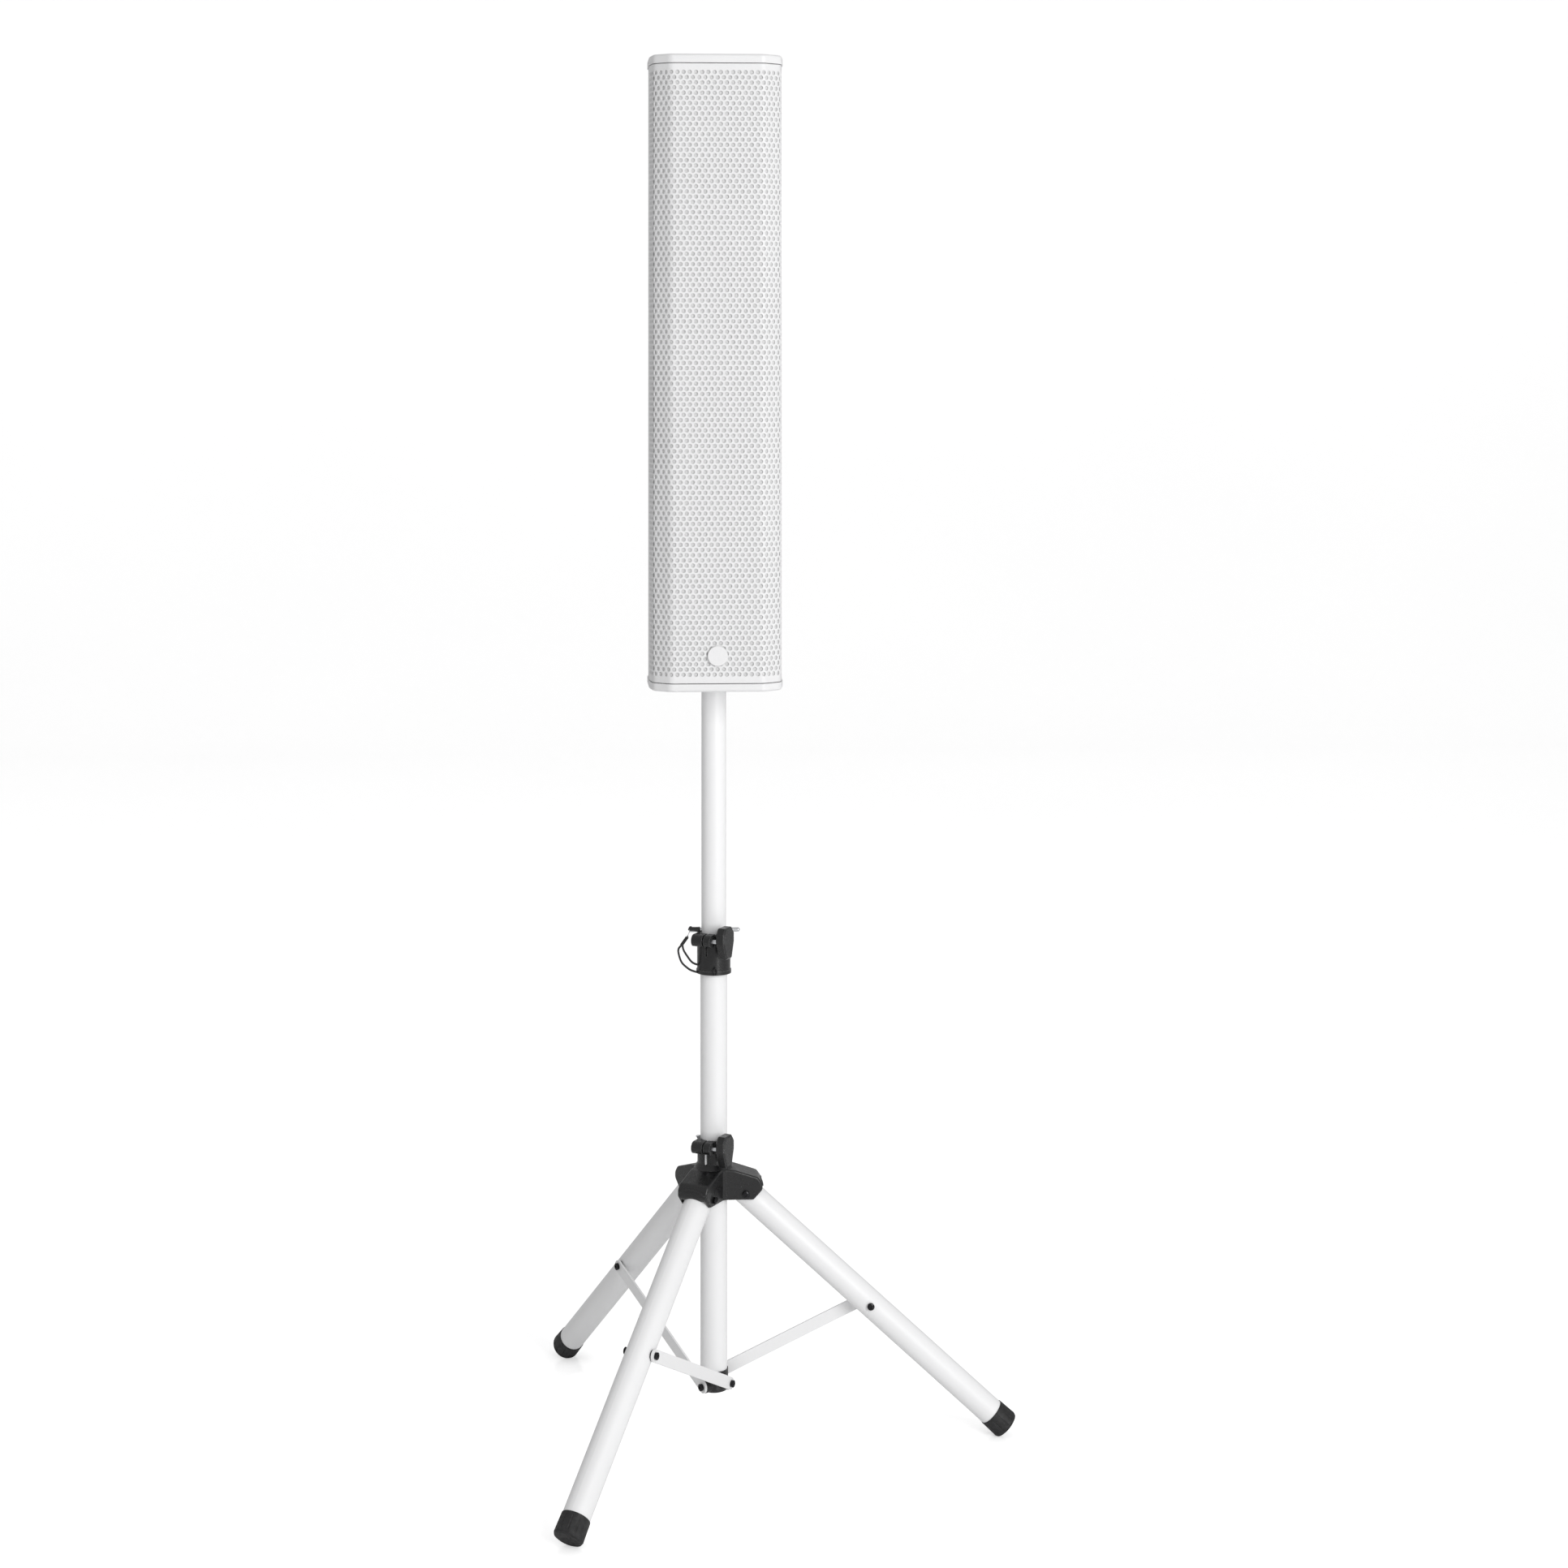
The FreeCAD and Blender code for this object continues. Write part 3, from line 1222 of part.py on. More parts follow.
def export():
    os.makedirs("parts", exist_ok=True)
    for part in kept_parts:
        part.Shape.exportStep(f"parts/{part.Label}.step")


build()
doc.recompute()
check()
export()
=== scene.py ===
import json
import math
import random

import bmesh
import bpy
import mathutils.noise
from mathutils import Matrix, Vector

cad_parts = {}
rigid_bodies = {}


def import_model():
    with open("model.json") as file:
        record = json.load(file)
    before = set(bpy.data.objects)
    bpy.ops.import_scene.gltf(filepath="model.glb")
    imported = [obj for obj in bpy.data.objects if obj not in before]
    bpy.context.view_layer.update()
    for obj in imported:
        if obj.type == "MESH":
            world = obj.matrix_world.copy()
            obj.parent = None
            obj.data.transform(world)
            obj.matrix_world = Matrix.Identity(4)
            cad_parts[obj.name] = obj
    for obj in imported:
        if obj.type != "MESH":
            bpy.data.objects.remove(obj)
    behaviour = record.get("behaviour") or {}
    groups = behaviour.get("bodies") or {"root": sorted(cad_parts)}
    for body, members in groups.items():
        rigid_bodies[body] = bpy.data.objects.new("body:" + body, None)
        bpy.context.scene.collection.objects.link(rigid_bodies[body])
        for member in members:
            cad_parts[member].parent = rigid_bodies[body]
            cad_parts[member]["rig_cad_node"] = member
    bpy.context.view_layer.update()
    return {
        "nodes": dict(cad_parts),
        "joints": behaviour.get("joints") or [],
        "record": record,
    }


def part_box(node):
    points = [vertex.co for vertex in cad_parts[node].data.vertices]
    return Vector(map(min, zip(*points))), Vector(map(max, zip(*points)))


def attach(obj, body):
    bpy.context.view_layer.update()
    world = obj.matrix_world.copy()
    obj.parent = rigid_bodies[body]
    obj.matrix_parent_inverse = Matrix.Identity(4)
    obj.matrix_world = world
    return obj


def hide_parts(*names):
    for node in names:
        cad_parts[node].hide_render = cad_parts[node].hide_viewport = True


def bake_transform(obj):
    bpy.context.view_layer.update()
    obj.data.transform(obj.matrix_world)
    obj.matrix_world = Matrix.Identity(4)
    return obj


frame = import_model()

# White column loudspeaker on a folding tripod stand. Metres, +Z up, the column faces -Y.

MM = 0.001
NODES = frame["nodes"]
RECORD = frame["record"]


# ---------------------------------------------------------------- camera, floor and light

CAMERA_HEIGHT = 1.5468
CAMERA_DISTANCE = 4.103
CAMERA_TURN = math.radians(3.2)
CAMERA_LENS = 66.48
SHIFT_RIGHT = 0.0448
SHIFT_DOWN = -0.2774


def driven_shift(camera, channel, amount):
    """A lens shift that holds while the camera keeps this script's own Euler rotation (mode 1), and is
    nothing once another view takes the camera over with a quaternion (mode 0)."""
    curve = camera.data.driver_add(channel)
    curve.driver.type = "SUM"
    target = curve.driver.variables.new().targets[0]
    target.id = camera
    target.data_path = "rotation_mode"
    curve.modifiers[0].coefficients = (0, amount)


def add_camera():
    """A level camera above the middle of the object, shifted down as an architectural lens is."""
    data = bpy.data.cameras.new("camera")
    data.lens = CAMERA_LENS
    data.clip_start, data.clip_end = 0.1, 60
    camera = bpy.data.objects.new("camera", data)
    bpy.context.scene.collection.objects.link(camera)
    camera.rotation_mode = "XYZ"
    camera.location = (-CAMERA_DISTANCE * math.sin(CAMERA_TURN), -CAMERA_DISTANCE * math.cos(CAMERA_TURN),
                       CAMERA_HEIGHT)
    camera.rotation_euler = (math.radians(90), 0, -CAMERA_TURN)
    driven_shift(camera, "shift_x", SHIFT_RIGHT)
    driven_shift(camera, "shift_y", SHIFT_DOWN)
    bpy.context.scene.camera = camera


SKY_STRENGTH = 0.56
KEY_POWER = 90
KEY_PLACE = Vector((1.9, -3.4, 1.9))
KEY_TARGET = Vector((0, 0, 1.0))
KEY_SIZE = (0.7, 2.8)

FLOOR_HALF_WIDTH = 14.0
FLOOR_FRONT = -9.0
FLOOR_BACK = 7.0
BACKDROP_RADIUS = 2.0
BACKDROP_HEIGHT = 14.0
BACKDROP_STEPS = 16


def add_floor():
    """A pale floor that rises into a backdrop."""
    profile = [(FLOOR_FRONT, 0.0)]
    for step in range(BACKDROP_STEPS + 1):
        angle = math.pi / 2 * step / BACKDROP_STEPS
        profile.append((FLOOR_BACK + BACKDROP_RADIUS * math.sin(angle),
                        BACKDROP_RADIUS * (1 - math.cos(angle))))
    profile.append((FLOOR_BACK + BACKDROP_RADIUS, BACKDROP_HEIGHT))
    bm = bmesh.new()
    rows = [[bm.verts.new((x, y, z)) for x in (-FLOOR_HALF_WIDTH, FLOOR_HALF_WIDTH)] for y, z in profile]
    for low, high in zip(rows, rows[1:]):
        bm.faces.new((low[0], low[1], high[1], high[0]))
    mesh = bpy.data.meshes.new("floor")
    bm.to_mesh(mesh)
    bm.free()
    for polygon in mesh.polygons:
        polygon.use_smooth = True
    floor = bpy.data.objects.new("floor", mesh)
    bpy.context.scene.collection.objects.link(floor)
    mesh.materials.append(floor_material())


def add_light():
    """A bright even studio sky, which the camera sees as white, and one tall key light at the front right."""
    world = bpy.data.worlds.new("studio")
    world.use_nodes = True
    sky = world.node_tree.nodes["Background"]
    sky.inputs["Color"].default_value = (1, 1, 1, 1)
    strength = add_node(world.node_tree, "ShaderNodeMapRange")
    strength.inputs["To Min"].default_value = SKY_STRENGTH
    strength.inputs["To Max"].default_value = 1.0
    seen = add_node(world.node_tree, "ShaderNodeLightPath").outputs["Is Camera Ray"]
    world.node_tree.links.new(seen, strength.inputs["Value"])
    world.node_tree.links.new(strength.outputs["Result"], sky.inputs["Strength"])
    bpy.context.scene.world = world
    data = bpy.data.lights.new("key", "AREA")
    data.shape = "RECTANGLE"
    data.size, data.size_y = KEY_SIZE
    data.energy = KEY_POWER
    key = bpy.data.objects.new("key", data)
    key.location = KEY_PLACE
    key.rotation_euler = (KEY_TARGET - KEY_PLACE).to_track_quat("-Z", "Y").to_euler()
    bpy.context.scene.collection.objects.link(key)
    view = bpy.context.scene.view_settings
    view.view_transform = "Standard"
    view.look = "None"


# ---------------------------------------------------------------- materials


def new_material(name):
    """An empty node material with a principled surface; returns it, its node tree and that surface."""
    material = bpy.data.materials.new(name)
    material.use_nodes = True
    tree = material.node_tree
    return material, tree, tree.nodes["Principled BSDF"]


def add_node(tree, kind, **settings):
    node = tree.nodes.new(kind)
    for setting, value in settings.items():
        setattr(node, setting, value)
    return node


def object_position(tree):
    """Place in the object's own metres, so that a pattern keeps its real size on every piece."""
    return add_node(tree, "ShaderNodeTexCoord").outputs["Object"]


def noise(tree, size, detail=3.0, roughness=0.5, stretch=(1, 1, 1)):
    """Noise whose blobs are about the given size in metres; stretch above 1 draws it out along an axis."""
    scaled = add_node(tree, "ShaderNodeMapping")
    scaled.inputs["Scale"].default_value = tuple(1 / factor for factor in stretch)
    tree.links.new(object_position(tree), scaled.inputs["Vector"])
    node = add_node(tree, "ShaderNodeTexNoise")
    node.inputs["Scale"].default_value = 1 / size
    node.inputs["Detail"].default_value = detail
    node.inputs["Roughness"].default_value = roughness
    tree.links.new(scaled.outputs["Vector"], node.inputs["Vector"])
    return node.outputs["Fac"]


def blend_range(tree, factor, low, high, start=0.35, end=0.65):
    """A factor spread from one value or colour to another."""
    ramp = add_node(tree, "ShaderNodeValToRGB")
    ramp.color_ramp.elements[0].position = start
    ramp.color_ramp.elements[1].position = end
    for element, value in zip(ramp.color_ramp.elements, (low, high)):
        element.color = (*value, 1) if isinstance(value, tuple) else (value, value, value, 1)
    tree.links.new(factor, ramp.inputs["Fac"])
    return ramp.outputs["Color"]


def bump(tree, shader, height, strength, depth, radius=0.0):
    """Relief of the given depth in metres, over edges softened by a small radius."""
    node = add_node(tree, "ShaderNodeBump")
    node.inputs["Strength"].default_value = strength
    node.inputs["Distance"].default_value = depth
    tree.links.new(height, node.inputs["Height"])
    if radius:
        soft = add_node(tree, "ShaderNodeBevel", samples=4)
        soft.inputs["Radius"].default_value = radius
        tree.links.new(soft.outputs["Normal"], node.inputs["Normal"])
    tree.links.new(node.outputs["Normal"], shader.inputs["Normal"])
    return node


def edge_highlight_mask(tree, width):
    """Mask for a painted edge highlight: 1 where a softened edge turns away from the flat face, 0 elsewhere.
    """
    soft = add_node(tree, "ShaderNodeBevel", samples=6)
    soft.inputs["Radius"].default_value = width
    geometry = add_node(tree, "ShaderNodeNewGeometry")
    dot = add_node(tree, "ShaderNodeVectorMath", operation="DOT_PRODUCT")
    tree.links.new(soft.outputs["Normal"], dot.inputs[0])
    tree.links.new(geometry.outputs["Normal"], dot.inputs[1])
    return blend_range(tree, dot.outputs["Value"], 1.0, 0.0, 0.72, 0.97)


def mix_colour(tree, factor, first, second):
    node = add_node(tree, "ShaderNodeMix", data_type="RGBA")
    tree.links.new(factor, node.inputs["Factor"])
    for socket, value in ((node.inputs[6], first), (node.inputs[7], second)):
        if isinstance(value, tuple):
            socket.default_value = (*value, 1)
        else:
            tree.links.new(value, socket)
    return node.outputs[2]


FLOOR_LIFT = 0.46


def floor_material():
    """Pale glossy studio floor that keeps soft shadows and a faint reflection. The camera sees it lifted
    to white, while the object is lit by its true tone."""
    material, tree, shader = new_material("studio_floor")
    tone = blend_range(tree, noise(tree, 1.5, 2), (0.955, 0.955, 0.957), (0.97, 0.97, 0.97))
    tree.links.new(tone, shader.inputs["Base Color"])
    shader.inputs["Roughness"].default_value = 0.12
    shader.inputs["Specular IOR Level"].default_value = 0.5
    shader.inputs["Emission Color"].default_value = (1, 1, 1, 1)
    lift = add_node(tree, "ShaderNodeMath", operation="MULTIPLY")
    lift.inputs[1].default_value = FLOOR_LIFT
    tree.links.new(add_node(tree, "ShaderNodeLightPath").outputs["Is Camera Ray"], lift.inputs[0])
    tree.links.new(lift.outputs["Value"], shader.inputs["Emission Strength"])
    return material


def powder_coat(name, tone, roughness, grain=0.0011, relief=0.00006, edge=0.0004):
    """Baked powder paint: fine orange peel, and a trace of unevenness in tone and gloss."""
    material, tree, shader = new_material(name)
    darker = tuple(channel * 0.985 for channel in tone)
    tree.links.new(blend_range(tree, noise(tree, 0.2, 2), darker, tone), shader.inputs["Base Color"])
    gloss = blend_range(tree, noise(tree, 0.03, 2), roughness * 0.95, roughness * 1.05)
    tree.links.new(gloss, shader.inputs["Roughness"])
    bump(tree, shader, noise(tree, grain, 2), 0.5, relief, edge)
    return material


def moulded_plastic(name, tone, roughness, edge_highlight_tone, grain=0.0007, relief=0.00008, edge=0.0012):
    """Spark-eroded plastic: fine grain, slight flow marks, and edges painted a lighter tone as a painted
    highlight.
    """
    material, tree, shader = new_material(name)
    lighter = tuple(min(1.0, channel * 1.02 + 0.002) for channel in tone)
    body = blend_range(tree, noise(tree, 0.08, 3, 0.5), tone, lighter)
    # the softened edges take a lighter tone, a painted highlight
    tree.links.new(mix_colour(tree, edge_highlight_mask(tree, edge), body, edge_highlight_tone), shader.inputs["Base Color"])
    gloss = blend_range(tree, noise(tree, 0.006, 4), roughness * 0.85, roughness * 1.15)
    tree.links.new(gloss, shader.inputs["Roughness"])
    bump(tree, shader, noise(tree, grain, 3, 0.6), 0.6, relief, edge * 0.6)
    return material


def metal(name, tone, roughness, stretch=(1, 1, 1)):
    """Plated or turned metal with fine drawn marks."""
    material, tree, shader = new_material(name)
    duller = tuple(channel * 0.8 for channel in tone)
    tree.links.new(blend_range(tree, noise(tree, 0.002, 5, 0.7, stretch), duller, tone),
                   shader.inputs["Base Color"])
    shader.inputs["Metallic"].default_value = 1.0
    gloss = blend_range(tree, noise(tree, 0.001, 4, 0.6, stretch), roughness * 0.75, roughness * 1.3)
    tree.links.new(gloss, shader.inputs["Roughness"])
    bump(tree, shader, noise(tree, 0.0005, 3, 0.5, stretch), 0.3, 0.00003, 0.0003)
    return material


def rubber(name, tone):
    """Matte rubber with a dusty bloom and a fine pebbled skin."""
    material, tree, shader = new_material(name)
    bloom = tuple(channel * 1.7 + 0.004 for channel in tone)
    tree.links.new(blend_range(tree, noise(tree, 0.01, 6, 0.65), tone, bloom, 0.4, 0.75),
                   shader.inputs["Base Color"])
    tree.links.new(blend_range(tree, noise(tree, 0.004, 3), 0.5, 0.7), shader.inputs["Roughness"])
    shader.inputs["Specular IOR Level"].default_value = 0.4
    bump(tree, shader, noise(tree, 0.0009, 3, 0.55), 0.7, 0.00012, 0.0006)
    return material


def cells(tree, size, randomness=1.0):
    node = add_node(tree, "ShaderNodeTexVoronoi")
    node.inputs["Scale"].default_value = 1 / size
    node.inputs["Randomness"].default_value = randomness
    tree.links.new(object_position(tree), node.inputs["Vector"])
    return node.outputs["Distance"]


def open_foam(name, tone):
    """Reticulated foam: small open cells, their hollows darkened with painted shade."""
    material, tree, shader = new_material(name)
    pore_shade = tuple(channel * 0.72 for channel in tone)
    pores = cells(tree, 0.0011)
    # the pore hollows are darkened, painted shade
    tree.links.new(blend_range(tree, pores, tone, pore_shade, 0.1, 0.75), shader.inputs["Base Color"])
    shader.inputs["Roughness"].default_value = 0.95
    shader.inputs["Specular IOR Level"].default_value = 0.1
    bump(tree, shader, pores, 0.8, 0.0004)
    return material


def fibre_fleece(name, tone):
    """Teased polyester fibre, with painted shade where the fibres lie deep."""
    material, tree, shader = new_material(name)
    deep_fibre_shade = tuple(channel * 0.7 for channel in tone)
    fibres = noise(tree, 0.0016, 8, 0.75, (6, 1, 1))
    # where the fibres lie deep the tone is darker, painted shade
    tree.links.new(blend_range(tree, fibres, deep_fibre_shade, tone, 0.3, 0.6), shader.inputs["Base Color"])
    shader.inputs["Roughness"].default_value = 1.0
    shader.inputs["Sheen Weight"].default_value = 0.4
    bump(tree, shader, fibres, 0.9, 0.0015)
    return material


def woven(name, tone, pitch):
    """Narrow webbing: over and under threads at the given pitch in metres, the raised crossings painted
    lighter as a painted highlight.
    """
    material, tree, shader = new_material(name)
    waves = []
    for direction in ("X", "Z"):
        wave = add_node(tree, "ShaderNodeTexWave", wave_type="BANDS", bands_direction=direction)
        wave.inputs["Scale"].default_value = 1 / (pitch * 3)
        tree.links.new(object_position(tree), wave.inputs["Vector"])
        waves.append(wave.outputs["Fac"])
    weave = add_node(tree, "ShaderNodeMath", operation="MULTIPLY")
    tree.links.new(waves[0], weave.inputs[0])
    tree.links.new(waves[1], weave.inputs[1])
    # the raised thread crossings are painted lighter, a painted highlight
    thread_highlight = tuple(channel * 2.2 + 0.01 for channel in tone)
    tree.links.new(blend_range(tree, weave.outputs["Value"], tone, thread_highlight, 0.1, 0.8),
                   shader.inputs["Base Color"])
    shader.inputs["Roughness"].default_value = 0.8
    shader.inputs["Sheen Weight"].default_value = 0.3
    bump(tree, shader, weave.outputs["Value"], 0.8, 0.0003)
    return material


def wood_board(name):
    """Raw fibreboard with a faint grain."""
    material, tree, shader = new_material(name)
    grain = noise(tree, 0.004, 6, 0.7, (1, 1, 12))
    tree.links.new(blend_range(tree, grain, (0.2, 0.13, 0.07), (0.36, 0.25, 0.15)),
                   shader.inputs["Base Color"])
    shader.inputs["Roughness"].default_value = 0.8
    bump(tree, shader, grain, 0.5, 0.0002)
    return material


def paper_cone(name):
    """Pressed pulp, nearly black."""
    material, tree, shader = new_material(name)
    pulp = noise(tree, 0.0012, 6, 0.7)
    tree.links.new(blend_range(tree, pulp, (0.012, 0.012, 0.013), (0.035, 0.035, 0.037)),
                   shader.inputs["Base Color"])
    shader.inputs["Roughness"].default_value = 0.85
    bump(tree, shader, pulp, 0.6, 0.0003)
    return material


def circuit_laminate(name):
    """Green lacquered laminate with the weave of its glass cloth."""
    material, tree, shader = new_material(name)
    weave = cells(tree, 0.0009, 0.1)
    tree.links.new(blend_range(tree, weave, (0.012, 0.11, 0.045), (0.02, 0.17, 0.07)),
                   shader.inputs["Base Color"])
    shader.inputs["Roughness"].default_value = 0.3
    bump(tree, shader, weave, 0.2, 0.00005)
    return material


WHITE = (0.77, 0.77, 0.775)
BLACK = (0.008, 0.008, 0.0084)


def make_materials():
    """One finish for each slot of the record."""
    return {
        "white_powder_coat": powder_coat("grille_coat", WHITE, 0.5, edge=0),
        "white_tube": powder_coat("tube_coat", (0.86, 0.86, 0.865), 0.4, 0.002, 0.00003),
        # the last colour given to each moulding is the tone of its painted edge highlight
        "white_moulding": moulded_plastic("cap_plastic", WHITE, 0.42, (0.84, 0.84, 0.84)),
        "black_moulding": moulded_plastic("black_plastic", BLACK, 0.3, (0.16, 0.16, 0.162)),
        "black_metal": metal("black_oxide", (0.035, 0.035, 0.037), 0.24),
        "zinc_steel": metal("zinc_plate", (0.72, 0.73, 0.75), 0.28, (8, 8, 1)),
        "foot_rubber": rubber("foot_rubber", (0.014, 0.014, 0.0145)),
        "strap": woven("strap_webbing", (0.012, 0.012, 0.013), 0.0006),
        "foam": open_foam("grille_foam", (0.78, 0.78, 0.78)),
        "wadding": fibre_fleece("wadding_fleece", (0.75, 0.75, 0.73)),
        "board_wood": wood_board("baffle_board"),
        "cone_paper": paper_cone("cone_paper"),
        "ferrite": rubber("ferrite", (0.03, 0.03, 0.032)),
        "circuit_board": circuit_laminate("circuit_laminate"),
        "copper_loom": moulded_plastic("loom_plastic", (0.2, 0.03, 0.025), 0.4, (0.3, 0.06, 0.05)),
    }


def finish_cad_nodes(materials):
    """Give every CAD node the finish of its own slot."""
    slots = {entry["node"]: entry["material_slot"] for entry in RECORD["subparts"]}
    for name, node in NODES.items():
        for slot in node.material_slots:
            slot.material = materials[slots[name]]


# ---------------------------------------------------------------- mesh helpers


def add_piece(name, verts, faces, body, material, sharp_angle=40.0):
    """A smooth-shaded mesh piece whose creases above an angle stay sharp. It rides on a CAD body, unless
    none is named."""
    mesh = bpy.data.meshes.new(name)
    mesh.from_pydata([tuple(v) for v in verts], [], faces)
    mesh.validate()
    bm = bmesh.new()
    bm.from_mesh(mesh)
    bmesh.ops.recalc_face_normals(bm, faces=bm.faces)
    bm.to_mesh(mesh)
    bm.free()
    piece = bpy.data.objects.new(name, mesh)
    bpy.context.scene.collection.objects.link(piece)
    mesh.materials.append(material)
    for polygon in mesh.polygons:
        polygon.use_smooth = True
    mesh.set_sharp_from_angle(angle=math.radians(sharp_angle))
    if body:
        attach(piece, body)
    return piece


def rounded_path(corners, arc_step=math.radians(4)):
    """Points through (x, y, radius) corners, the inner ones rounded with arcs."""
    points = [Vector(corners[0][:2])]
    for before, corner, after in zip(corners, corners[1:], corners[2:]):
        here, radius = Vector(corner[:2]), corner[2]
        back = (Vector(before[:2]) - here).normalized()
        ahead = (Vector(after[:2]) - here).normalized()
        half = back.angle(ahead) / 2
        centre = here + (back + ahead).normalized() * (radius / math.sin(half))
        start = here + back * (radius / math.tan(half))
        sweep = math.pi - 2 * half
        turn = math.copysign(1, back.cross(ahead)) * -1
        steps = max(2, math.ceil(sweep / arc_step))
        for step in range(steps + 1):
            angle = turn * sweep * step / steps
            points.append(centre + Matrix.Rotation(angle, 2) @ (start - centre))
    points.append(Vector(corners[-1][:2]))
    return points


class Path:
    """A planar path measured by its own length, with 0 at its middle."""

    def __init__(self, points):
        self.points = points
        self.marks = [0.0]
        for start, end in zip(points, points[1:]):
            self.marks.append(self.marks[-1] + (end - start).length)
        self.length = self.marks[-1]
        self.directions = [(end - start).normalized() for start, end in zip(points, points[1:])]

    def at(self, distance):
        """Place and outward normal at a distance from the middle."""
        along = min(max(distance + self.length / 2, 0), self.length)
        index = 0
        while index < len(self.points) - 2 and self.marks[index + 1] < along:
            index += 1
        start, end = self.marks[index], self.marks[index + 1]
        share = (along - start) / (end - start) if end > start else 0
        place = self.points[index].lerp(self.points[index + 1], share)
        before = self.directions[max(index - 1, 0)]
        after = self.directions[min(index + 1, len(self.directions) - 1)]
        here = self.directions[index]
        if share < 0.5:
            direction = (before + here).normalized().lerp(here, share * 2)
        else:
            direction = here.lerp((here + after).normalized(), share * 2 - 1)
        direction.normalize()
        return place, Vector((direction.y, -direction.x))


# ---------------------------------------------------------------- grille and foam

FRONT_HALF_WIDTH = 0.0647
CHEEK_HALF_WIDTH = 0.089
CHEEK_DEPTH = 0.018
SIDE_FRONT = -0.05
CORNER_RADIUS = 0.014
SIDE_RADIUS = 0.045
HOLE_PITCH = 0.0086
ROW_PITCH = 0.00719
HOLE_RADIUS = 0.0029
HOLE_BEVEL = 0.00022
HOLE_ROWS = 117
HOLE_SIDES = 12
SHEET_THICKNESS = 0.0012
INSET_STEPS = 160


def front_path(inset=0.0):
    """The column's front outline, from its left rear edge round to its right rear edge."""
    low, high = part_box("grille")
    half, front, rear = high[0], low[1], high[1]
    right = [
        (FRONT_HALF_WIDTH, front, CORNER_RADIUS),
        (CHEEK_HALF_WIDTH, front + CHEEK_DEPTH, CORNER_RADIUS),
        (half, SIDE_FRONT, SIDE_RADIUS),
        (half, rear, 0),
    ]
    left = [(-x, y, radius) for x, y, radius in reversed(right)]
    path = Path(rounded_path(left + right))
    if not inset:
        return path
    moved = []
    for step in range(INSET_STEPS + 1):
        place, normal = path.at(-path.length / 2 + path.length * step / INSET_STEPS)
        moved.append(place - normal * inset)
    return Path(moved)


class GrilleGrid:
    """The perforated sheet's shared points and faces. Columns count quarter pitches across and rows count
    half rows up; a crossing one step outside them lies on the sheet's blank margin."""

    def __init__(self, path, bottom, top):
        self.path, self.bottom, self.top = path, bottom, top
        self.columns = int(path.length / HOLE_PITCH)
        self.side_margin = (path.length - self.columns * HOLE_PITCH) / 2
        self.end_margin = (top - bottom - HOLE_ROWS * ROW_PITCH) / 2
        self.verts = []
        self.faces = []
        self.rim = {}
        self.index = {}
        self.placed = {}

    def across(self, column):
        if column < 0:
            return -self.path.length / 2
        if column > 4 * self.columns:
            return self.path.length / 2
        return -self.path.length / 2 + self.side_margin + column * HOLE_PITCH / 4

    def up(self, row):
        if row < 0:
            return self.bottom
        if row > 2 * HOLE_ROWS:
            return self.top
        return self.bottom + self.end_margin + row * ROW_PITCH / 2

    def point(self, across, up, depth):
        if across not in self.placed:
            self.placed[across] = self.path.at(across)
        place, normal = self.placed[across]
        place = place - normal * depth
        self.verts.append((place.x, place.y, up))
        return len(self.verts) - 1

    def pair(self, column, row):
        """Outer and inner vertex at a grid crossing."""
        key = (column, row)
        if key not in self.index:
            across, up = self.across(column), self.up(row)
            self.index[key] = (self.point(across, up, 0), self.point(across, up, SHEET_THICKNESS))
        return self.index[key]

    def count_edge(self, start, end):
        """Note one more face at an edge; edges used once are the band's rim."""
        edge = tuple(sorted((start, end)))
        self.rim[edge] = self.rim.get(edge, 0) + 1

    def plain_cell(self, column, row):
        """An unperforated quarter cell, on both sides of the sheet."""
        crossings = [(column, row), (column + 1, row), (column + 1, row + 1), (column, row + 1)]
        pairs = [self.pair(*crossing) for crossing in crossings]
        self.faces.append([pair[0] for pair in pairs])
        self.faces.append([pair[1] for pair in reversed(pairs)])
        for start, end in zip(crossings, crossings[1:] + crossings[:1]):
            self.count_edge(start, end)

    def plain_square(self, column, row):
        """Two by two plain cells, which fill the end of a row of holes."""
        for step in (0, 1):
            for half in (0, 1):
                self.plain_cell(column + step, row + half)

    def perforated_cell(self, centre, row):
        """One hole with the sheet round it."""
        rings = hole_rings(self, centre, row)
        edge = [(centre + right, row + rise) for right, rise in CELL_EDGE]
        pairs = [self.pair(*crossing) for crossing in edge]
        for side in range(HOLE_SIDES):
            after = (side + 1) % HOLE_SIDES
            self.faces.append([pairs[side][0], pairs[after][0], rings[0][after], rings[0][side]])
            for upper, lower in zip(rings, rings[1:]):
                self.faces.append([upper[side], upper[after], lower[after], lower[side]])
            self.faces.append([pairs[after][1], pairs[side][1], rings[-1][side], rings[-1][after]])
            self.count_edge(edge[side], edge[after])

    def close_rim(self):
        """Join the outer and inner surfaces all round."""
        for (start, end), uses in self.rim.items():
            if uses == 1:
                first, second = self.pair(*start), self.pair(*end)
                self.faces.append([first[0], second[0], second[1], first[1]])


CELL_EDGE = (
    (2, 0), (2, 1), (1, 1), (0, 1), (-1, 1), (-2, 1),
    (-2, 0), (-2, -1), (-1, -1), (0, -1), (1, -1), (2, -1),
)


def hole_rings(grid, column, row):
    """Rings down through one hole: the outer lip, the wall's top and bottom, and the inner lip."""
    across, up = grid.across(column), grid.up(row)
    rings = []
    for radius, depth in (
        (HOLE_RADIUS + HOLE_BEVEL, 0),
        (HOLE_RADIUS, HOLE_BEVEL),
        (HOLE_RADIUS, SHEET_THICKNESS),
    ):
        ring = []
        for side in range(HOLE_SIDES):
            angle = 2 * math.pi * side / HOLE_SIDES
            ring.append(grid.point(across + radius * math.cos(angle), up + radius * math.sin(angle), depth))
        rings.append(ring)
    return rings


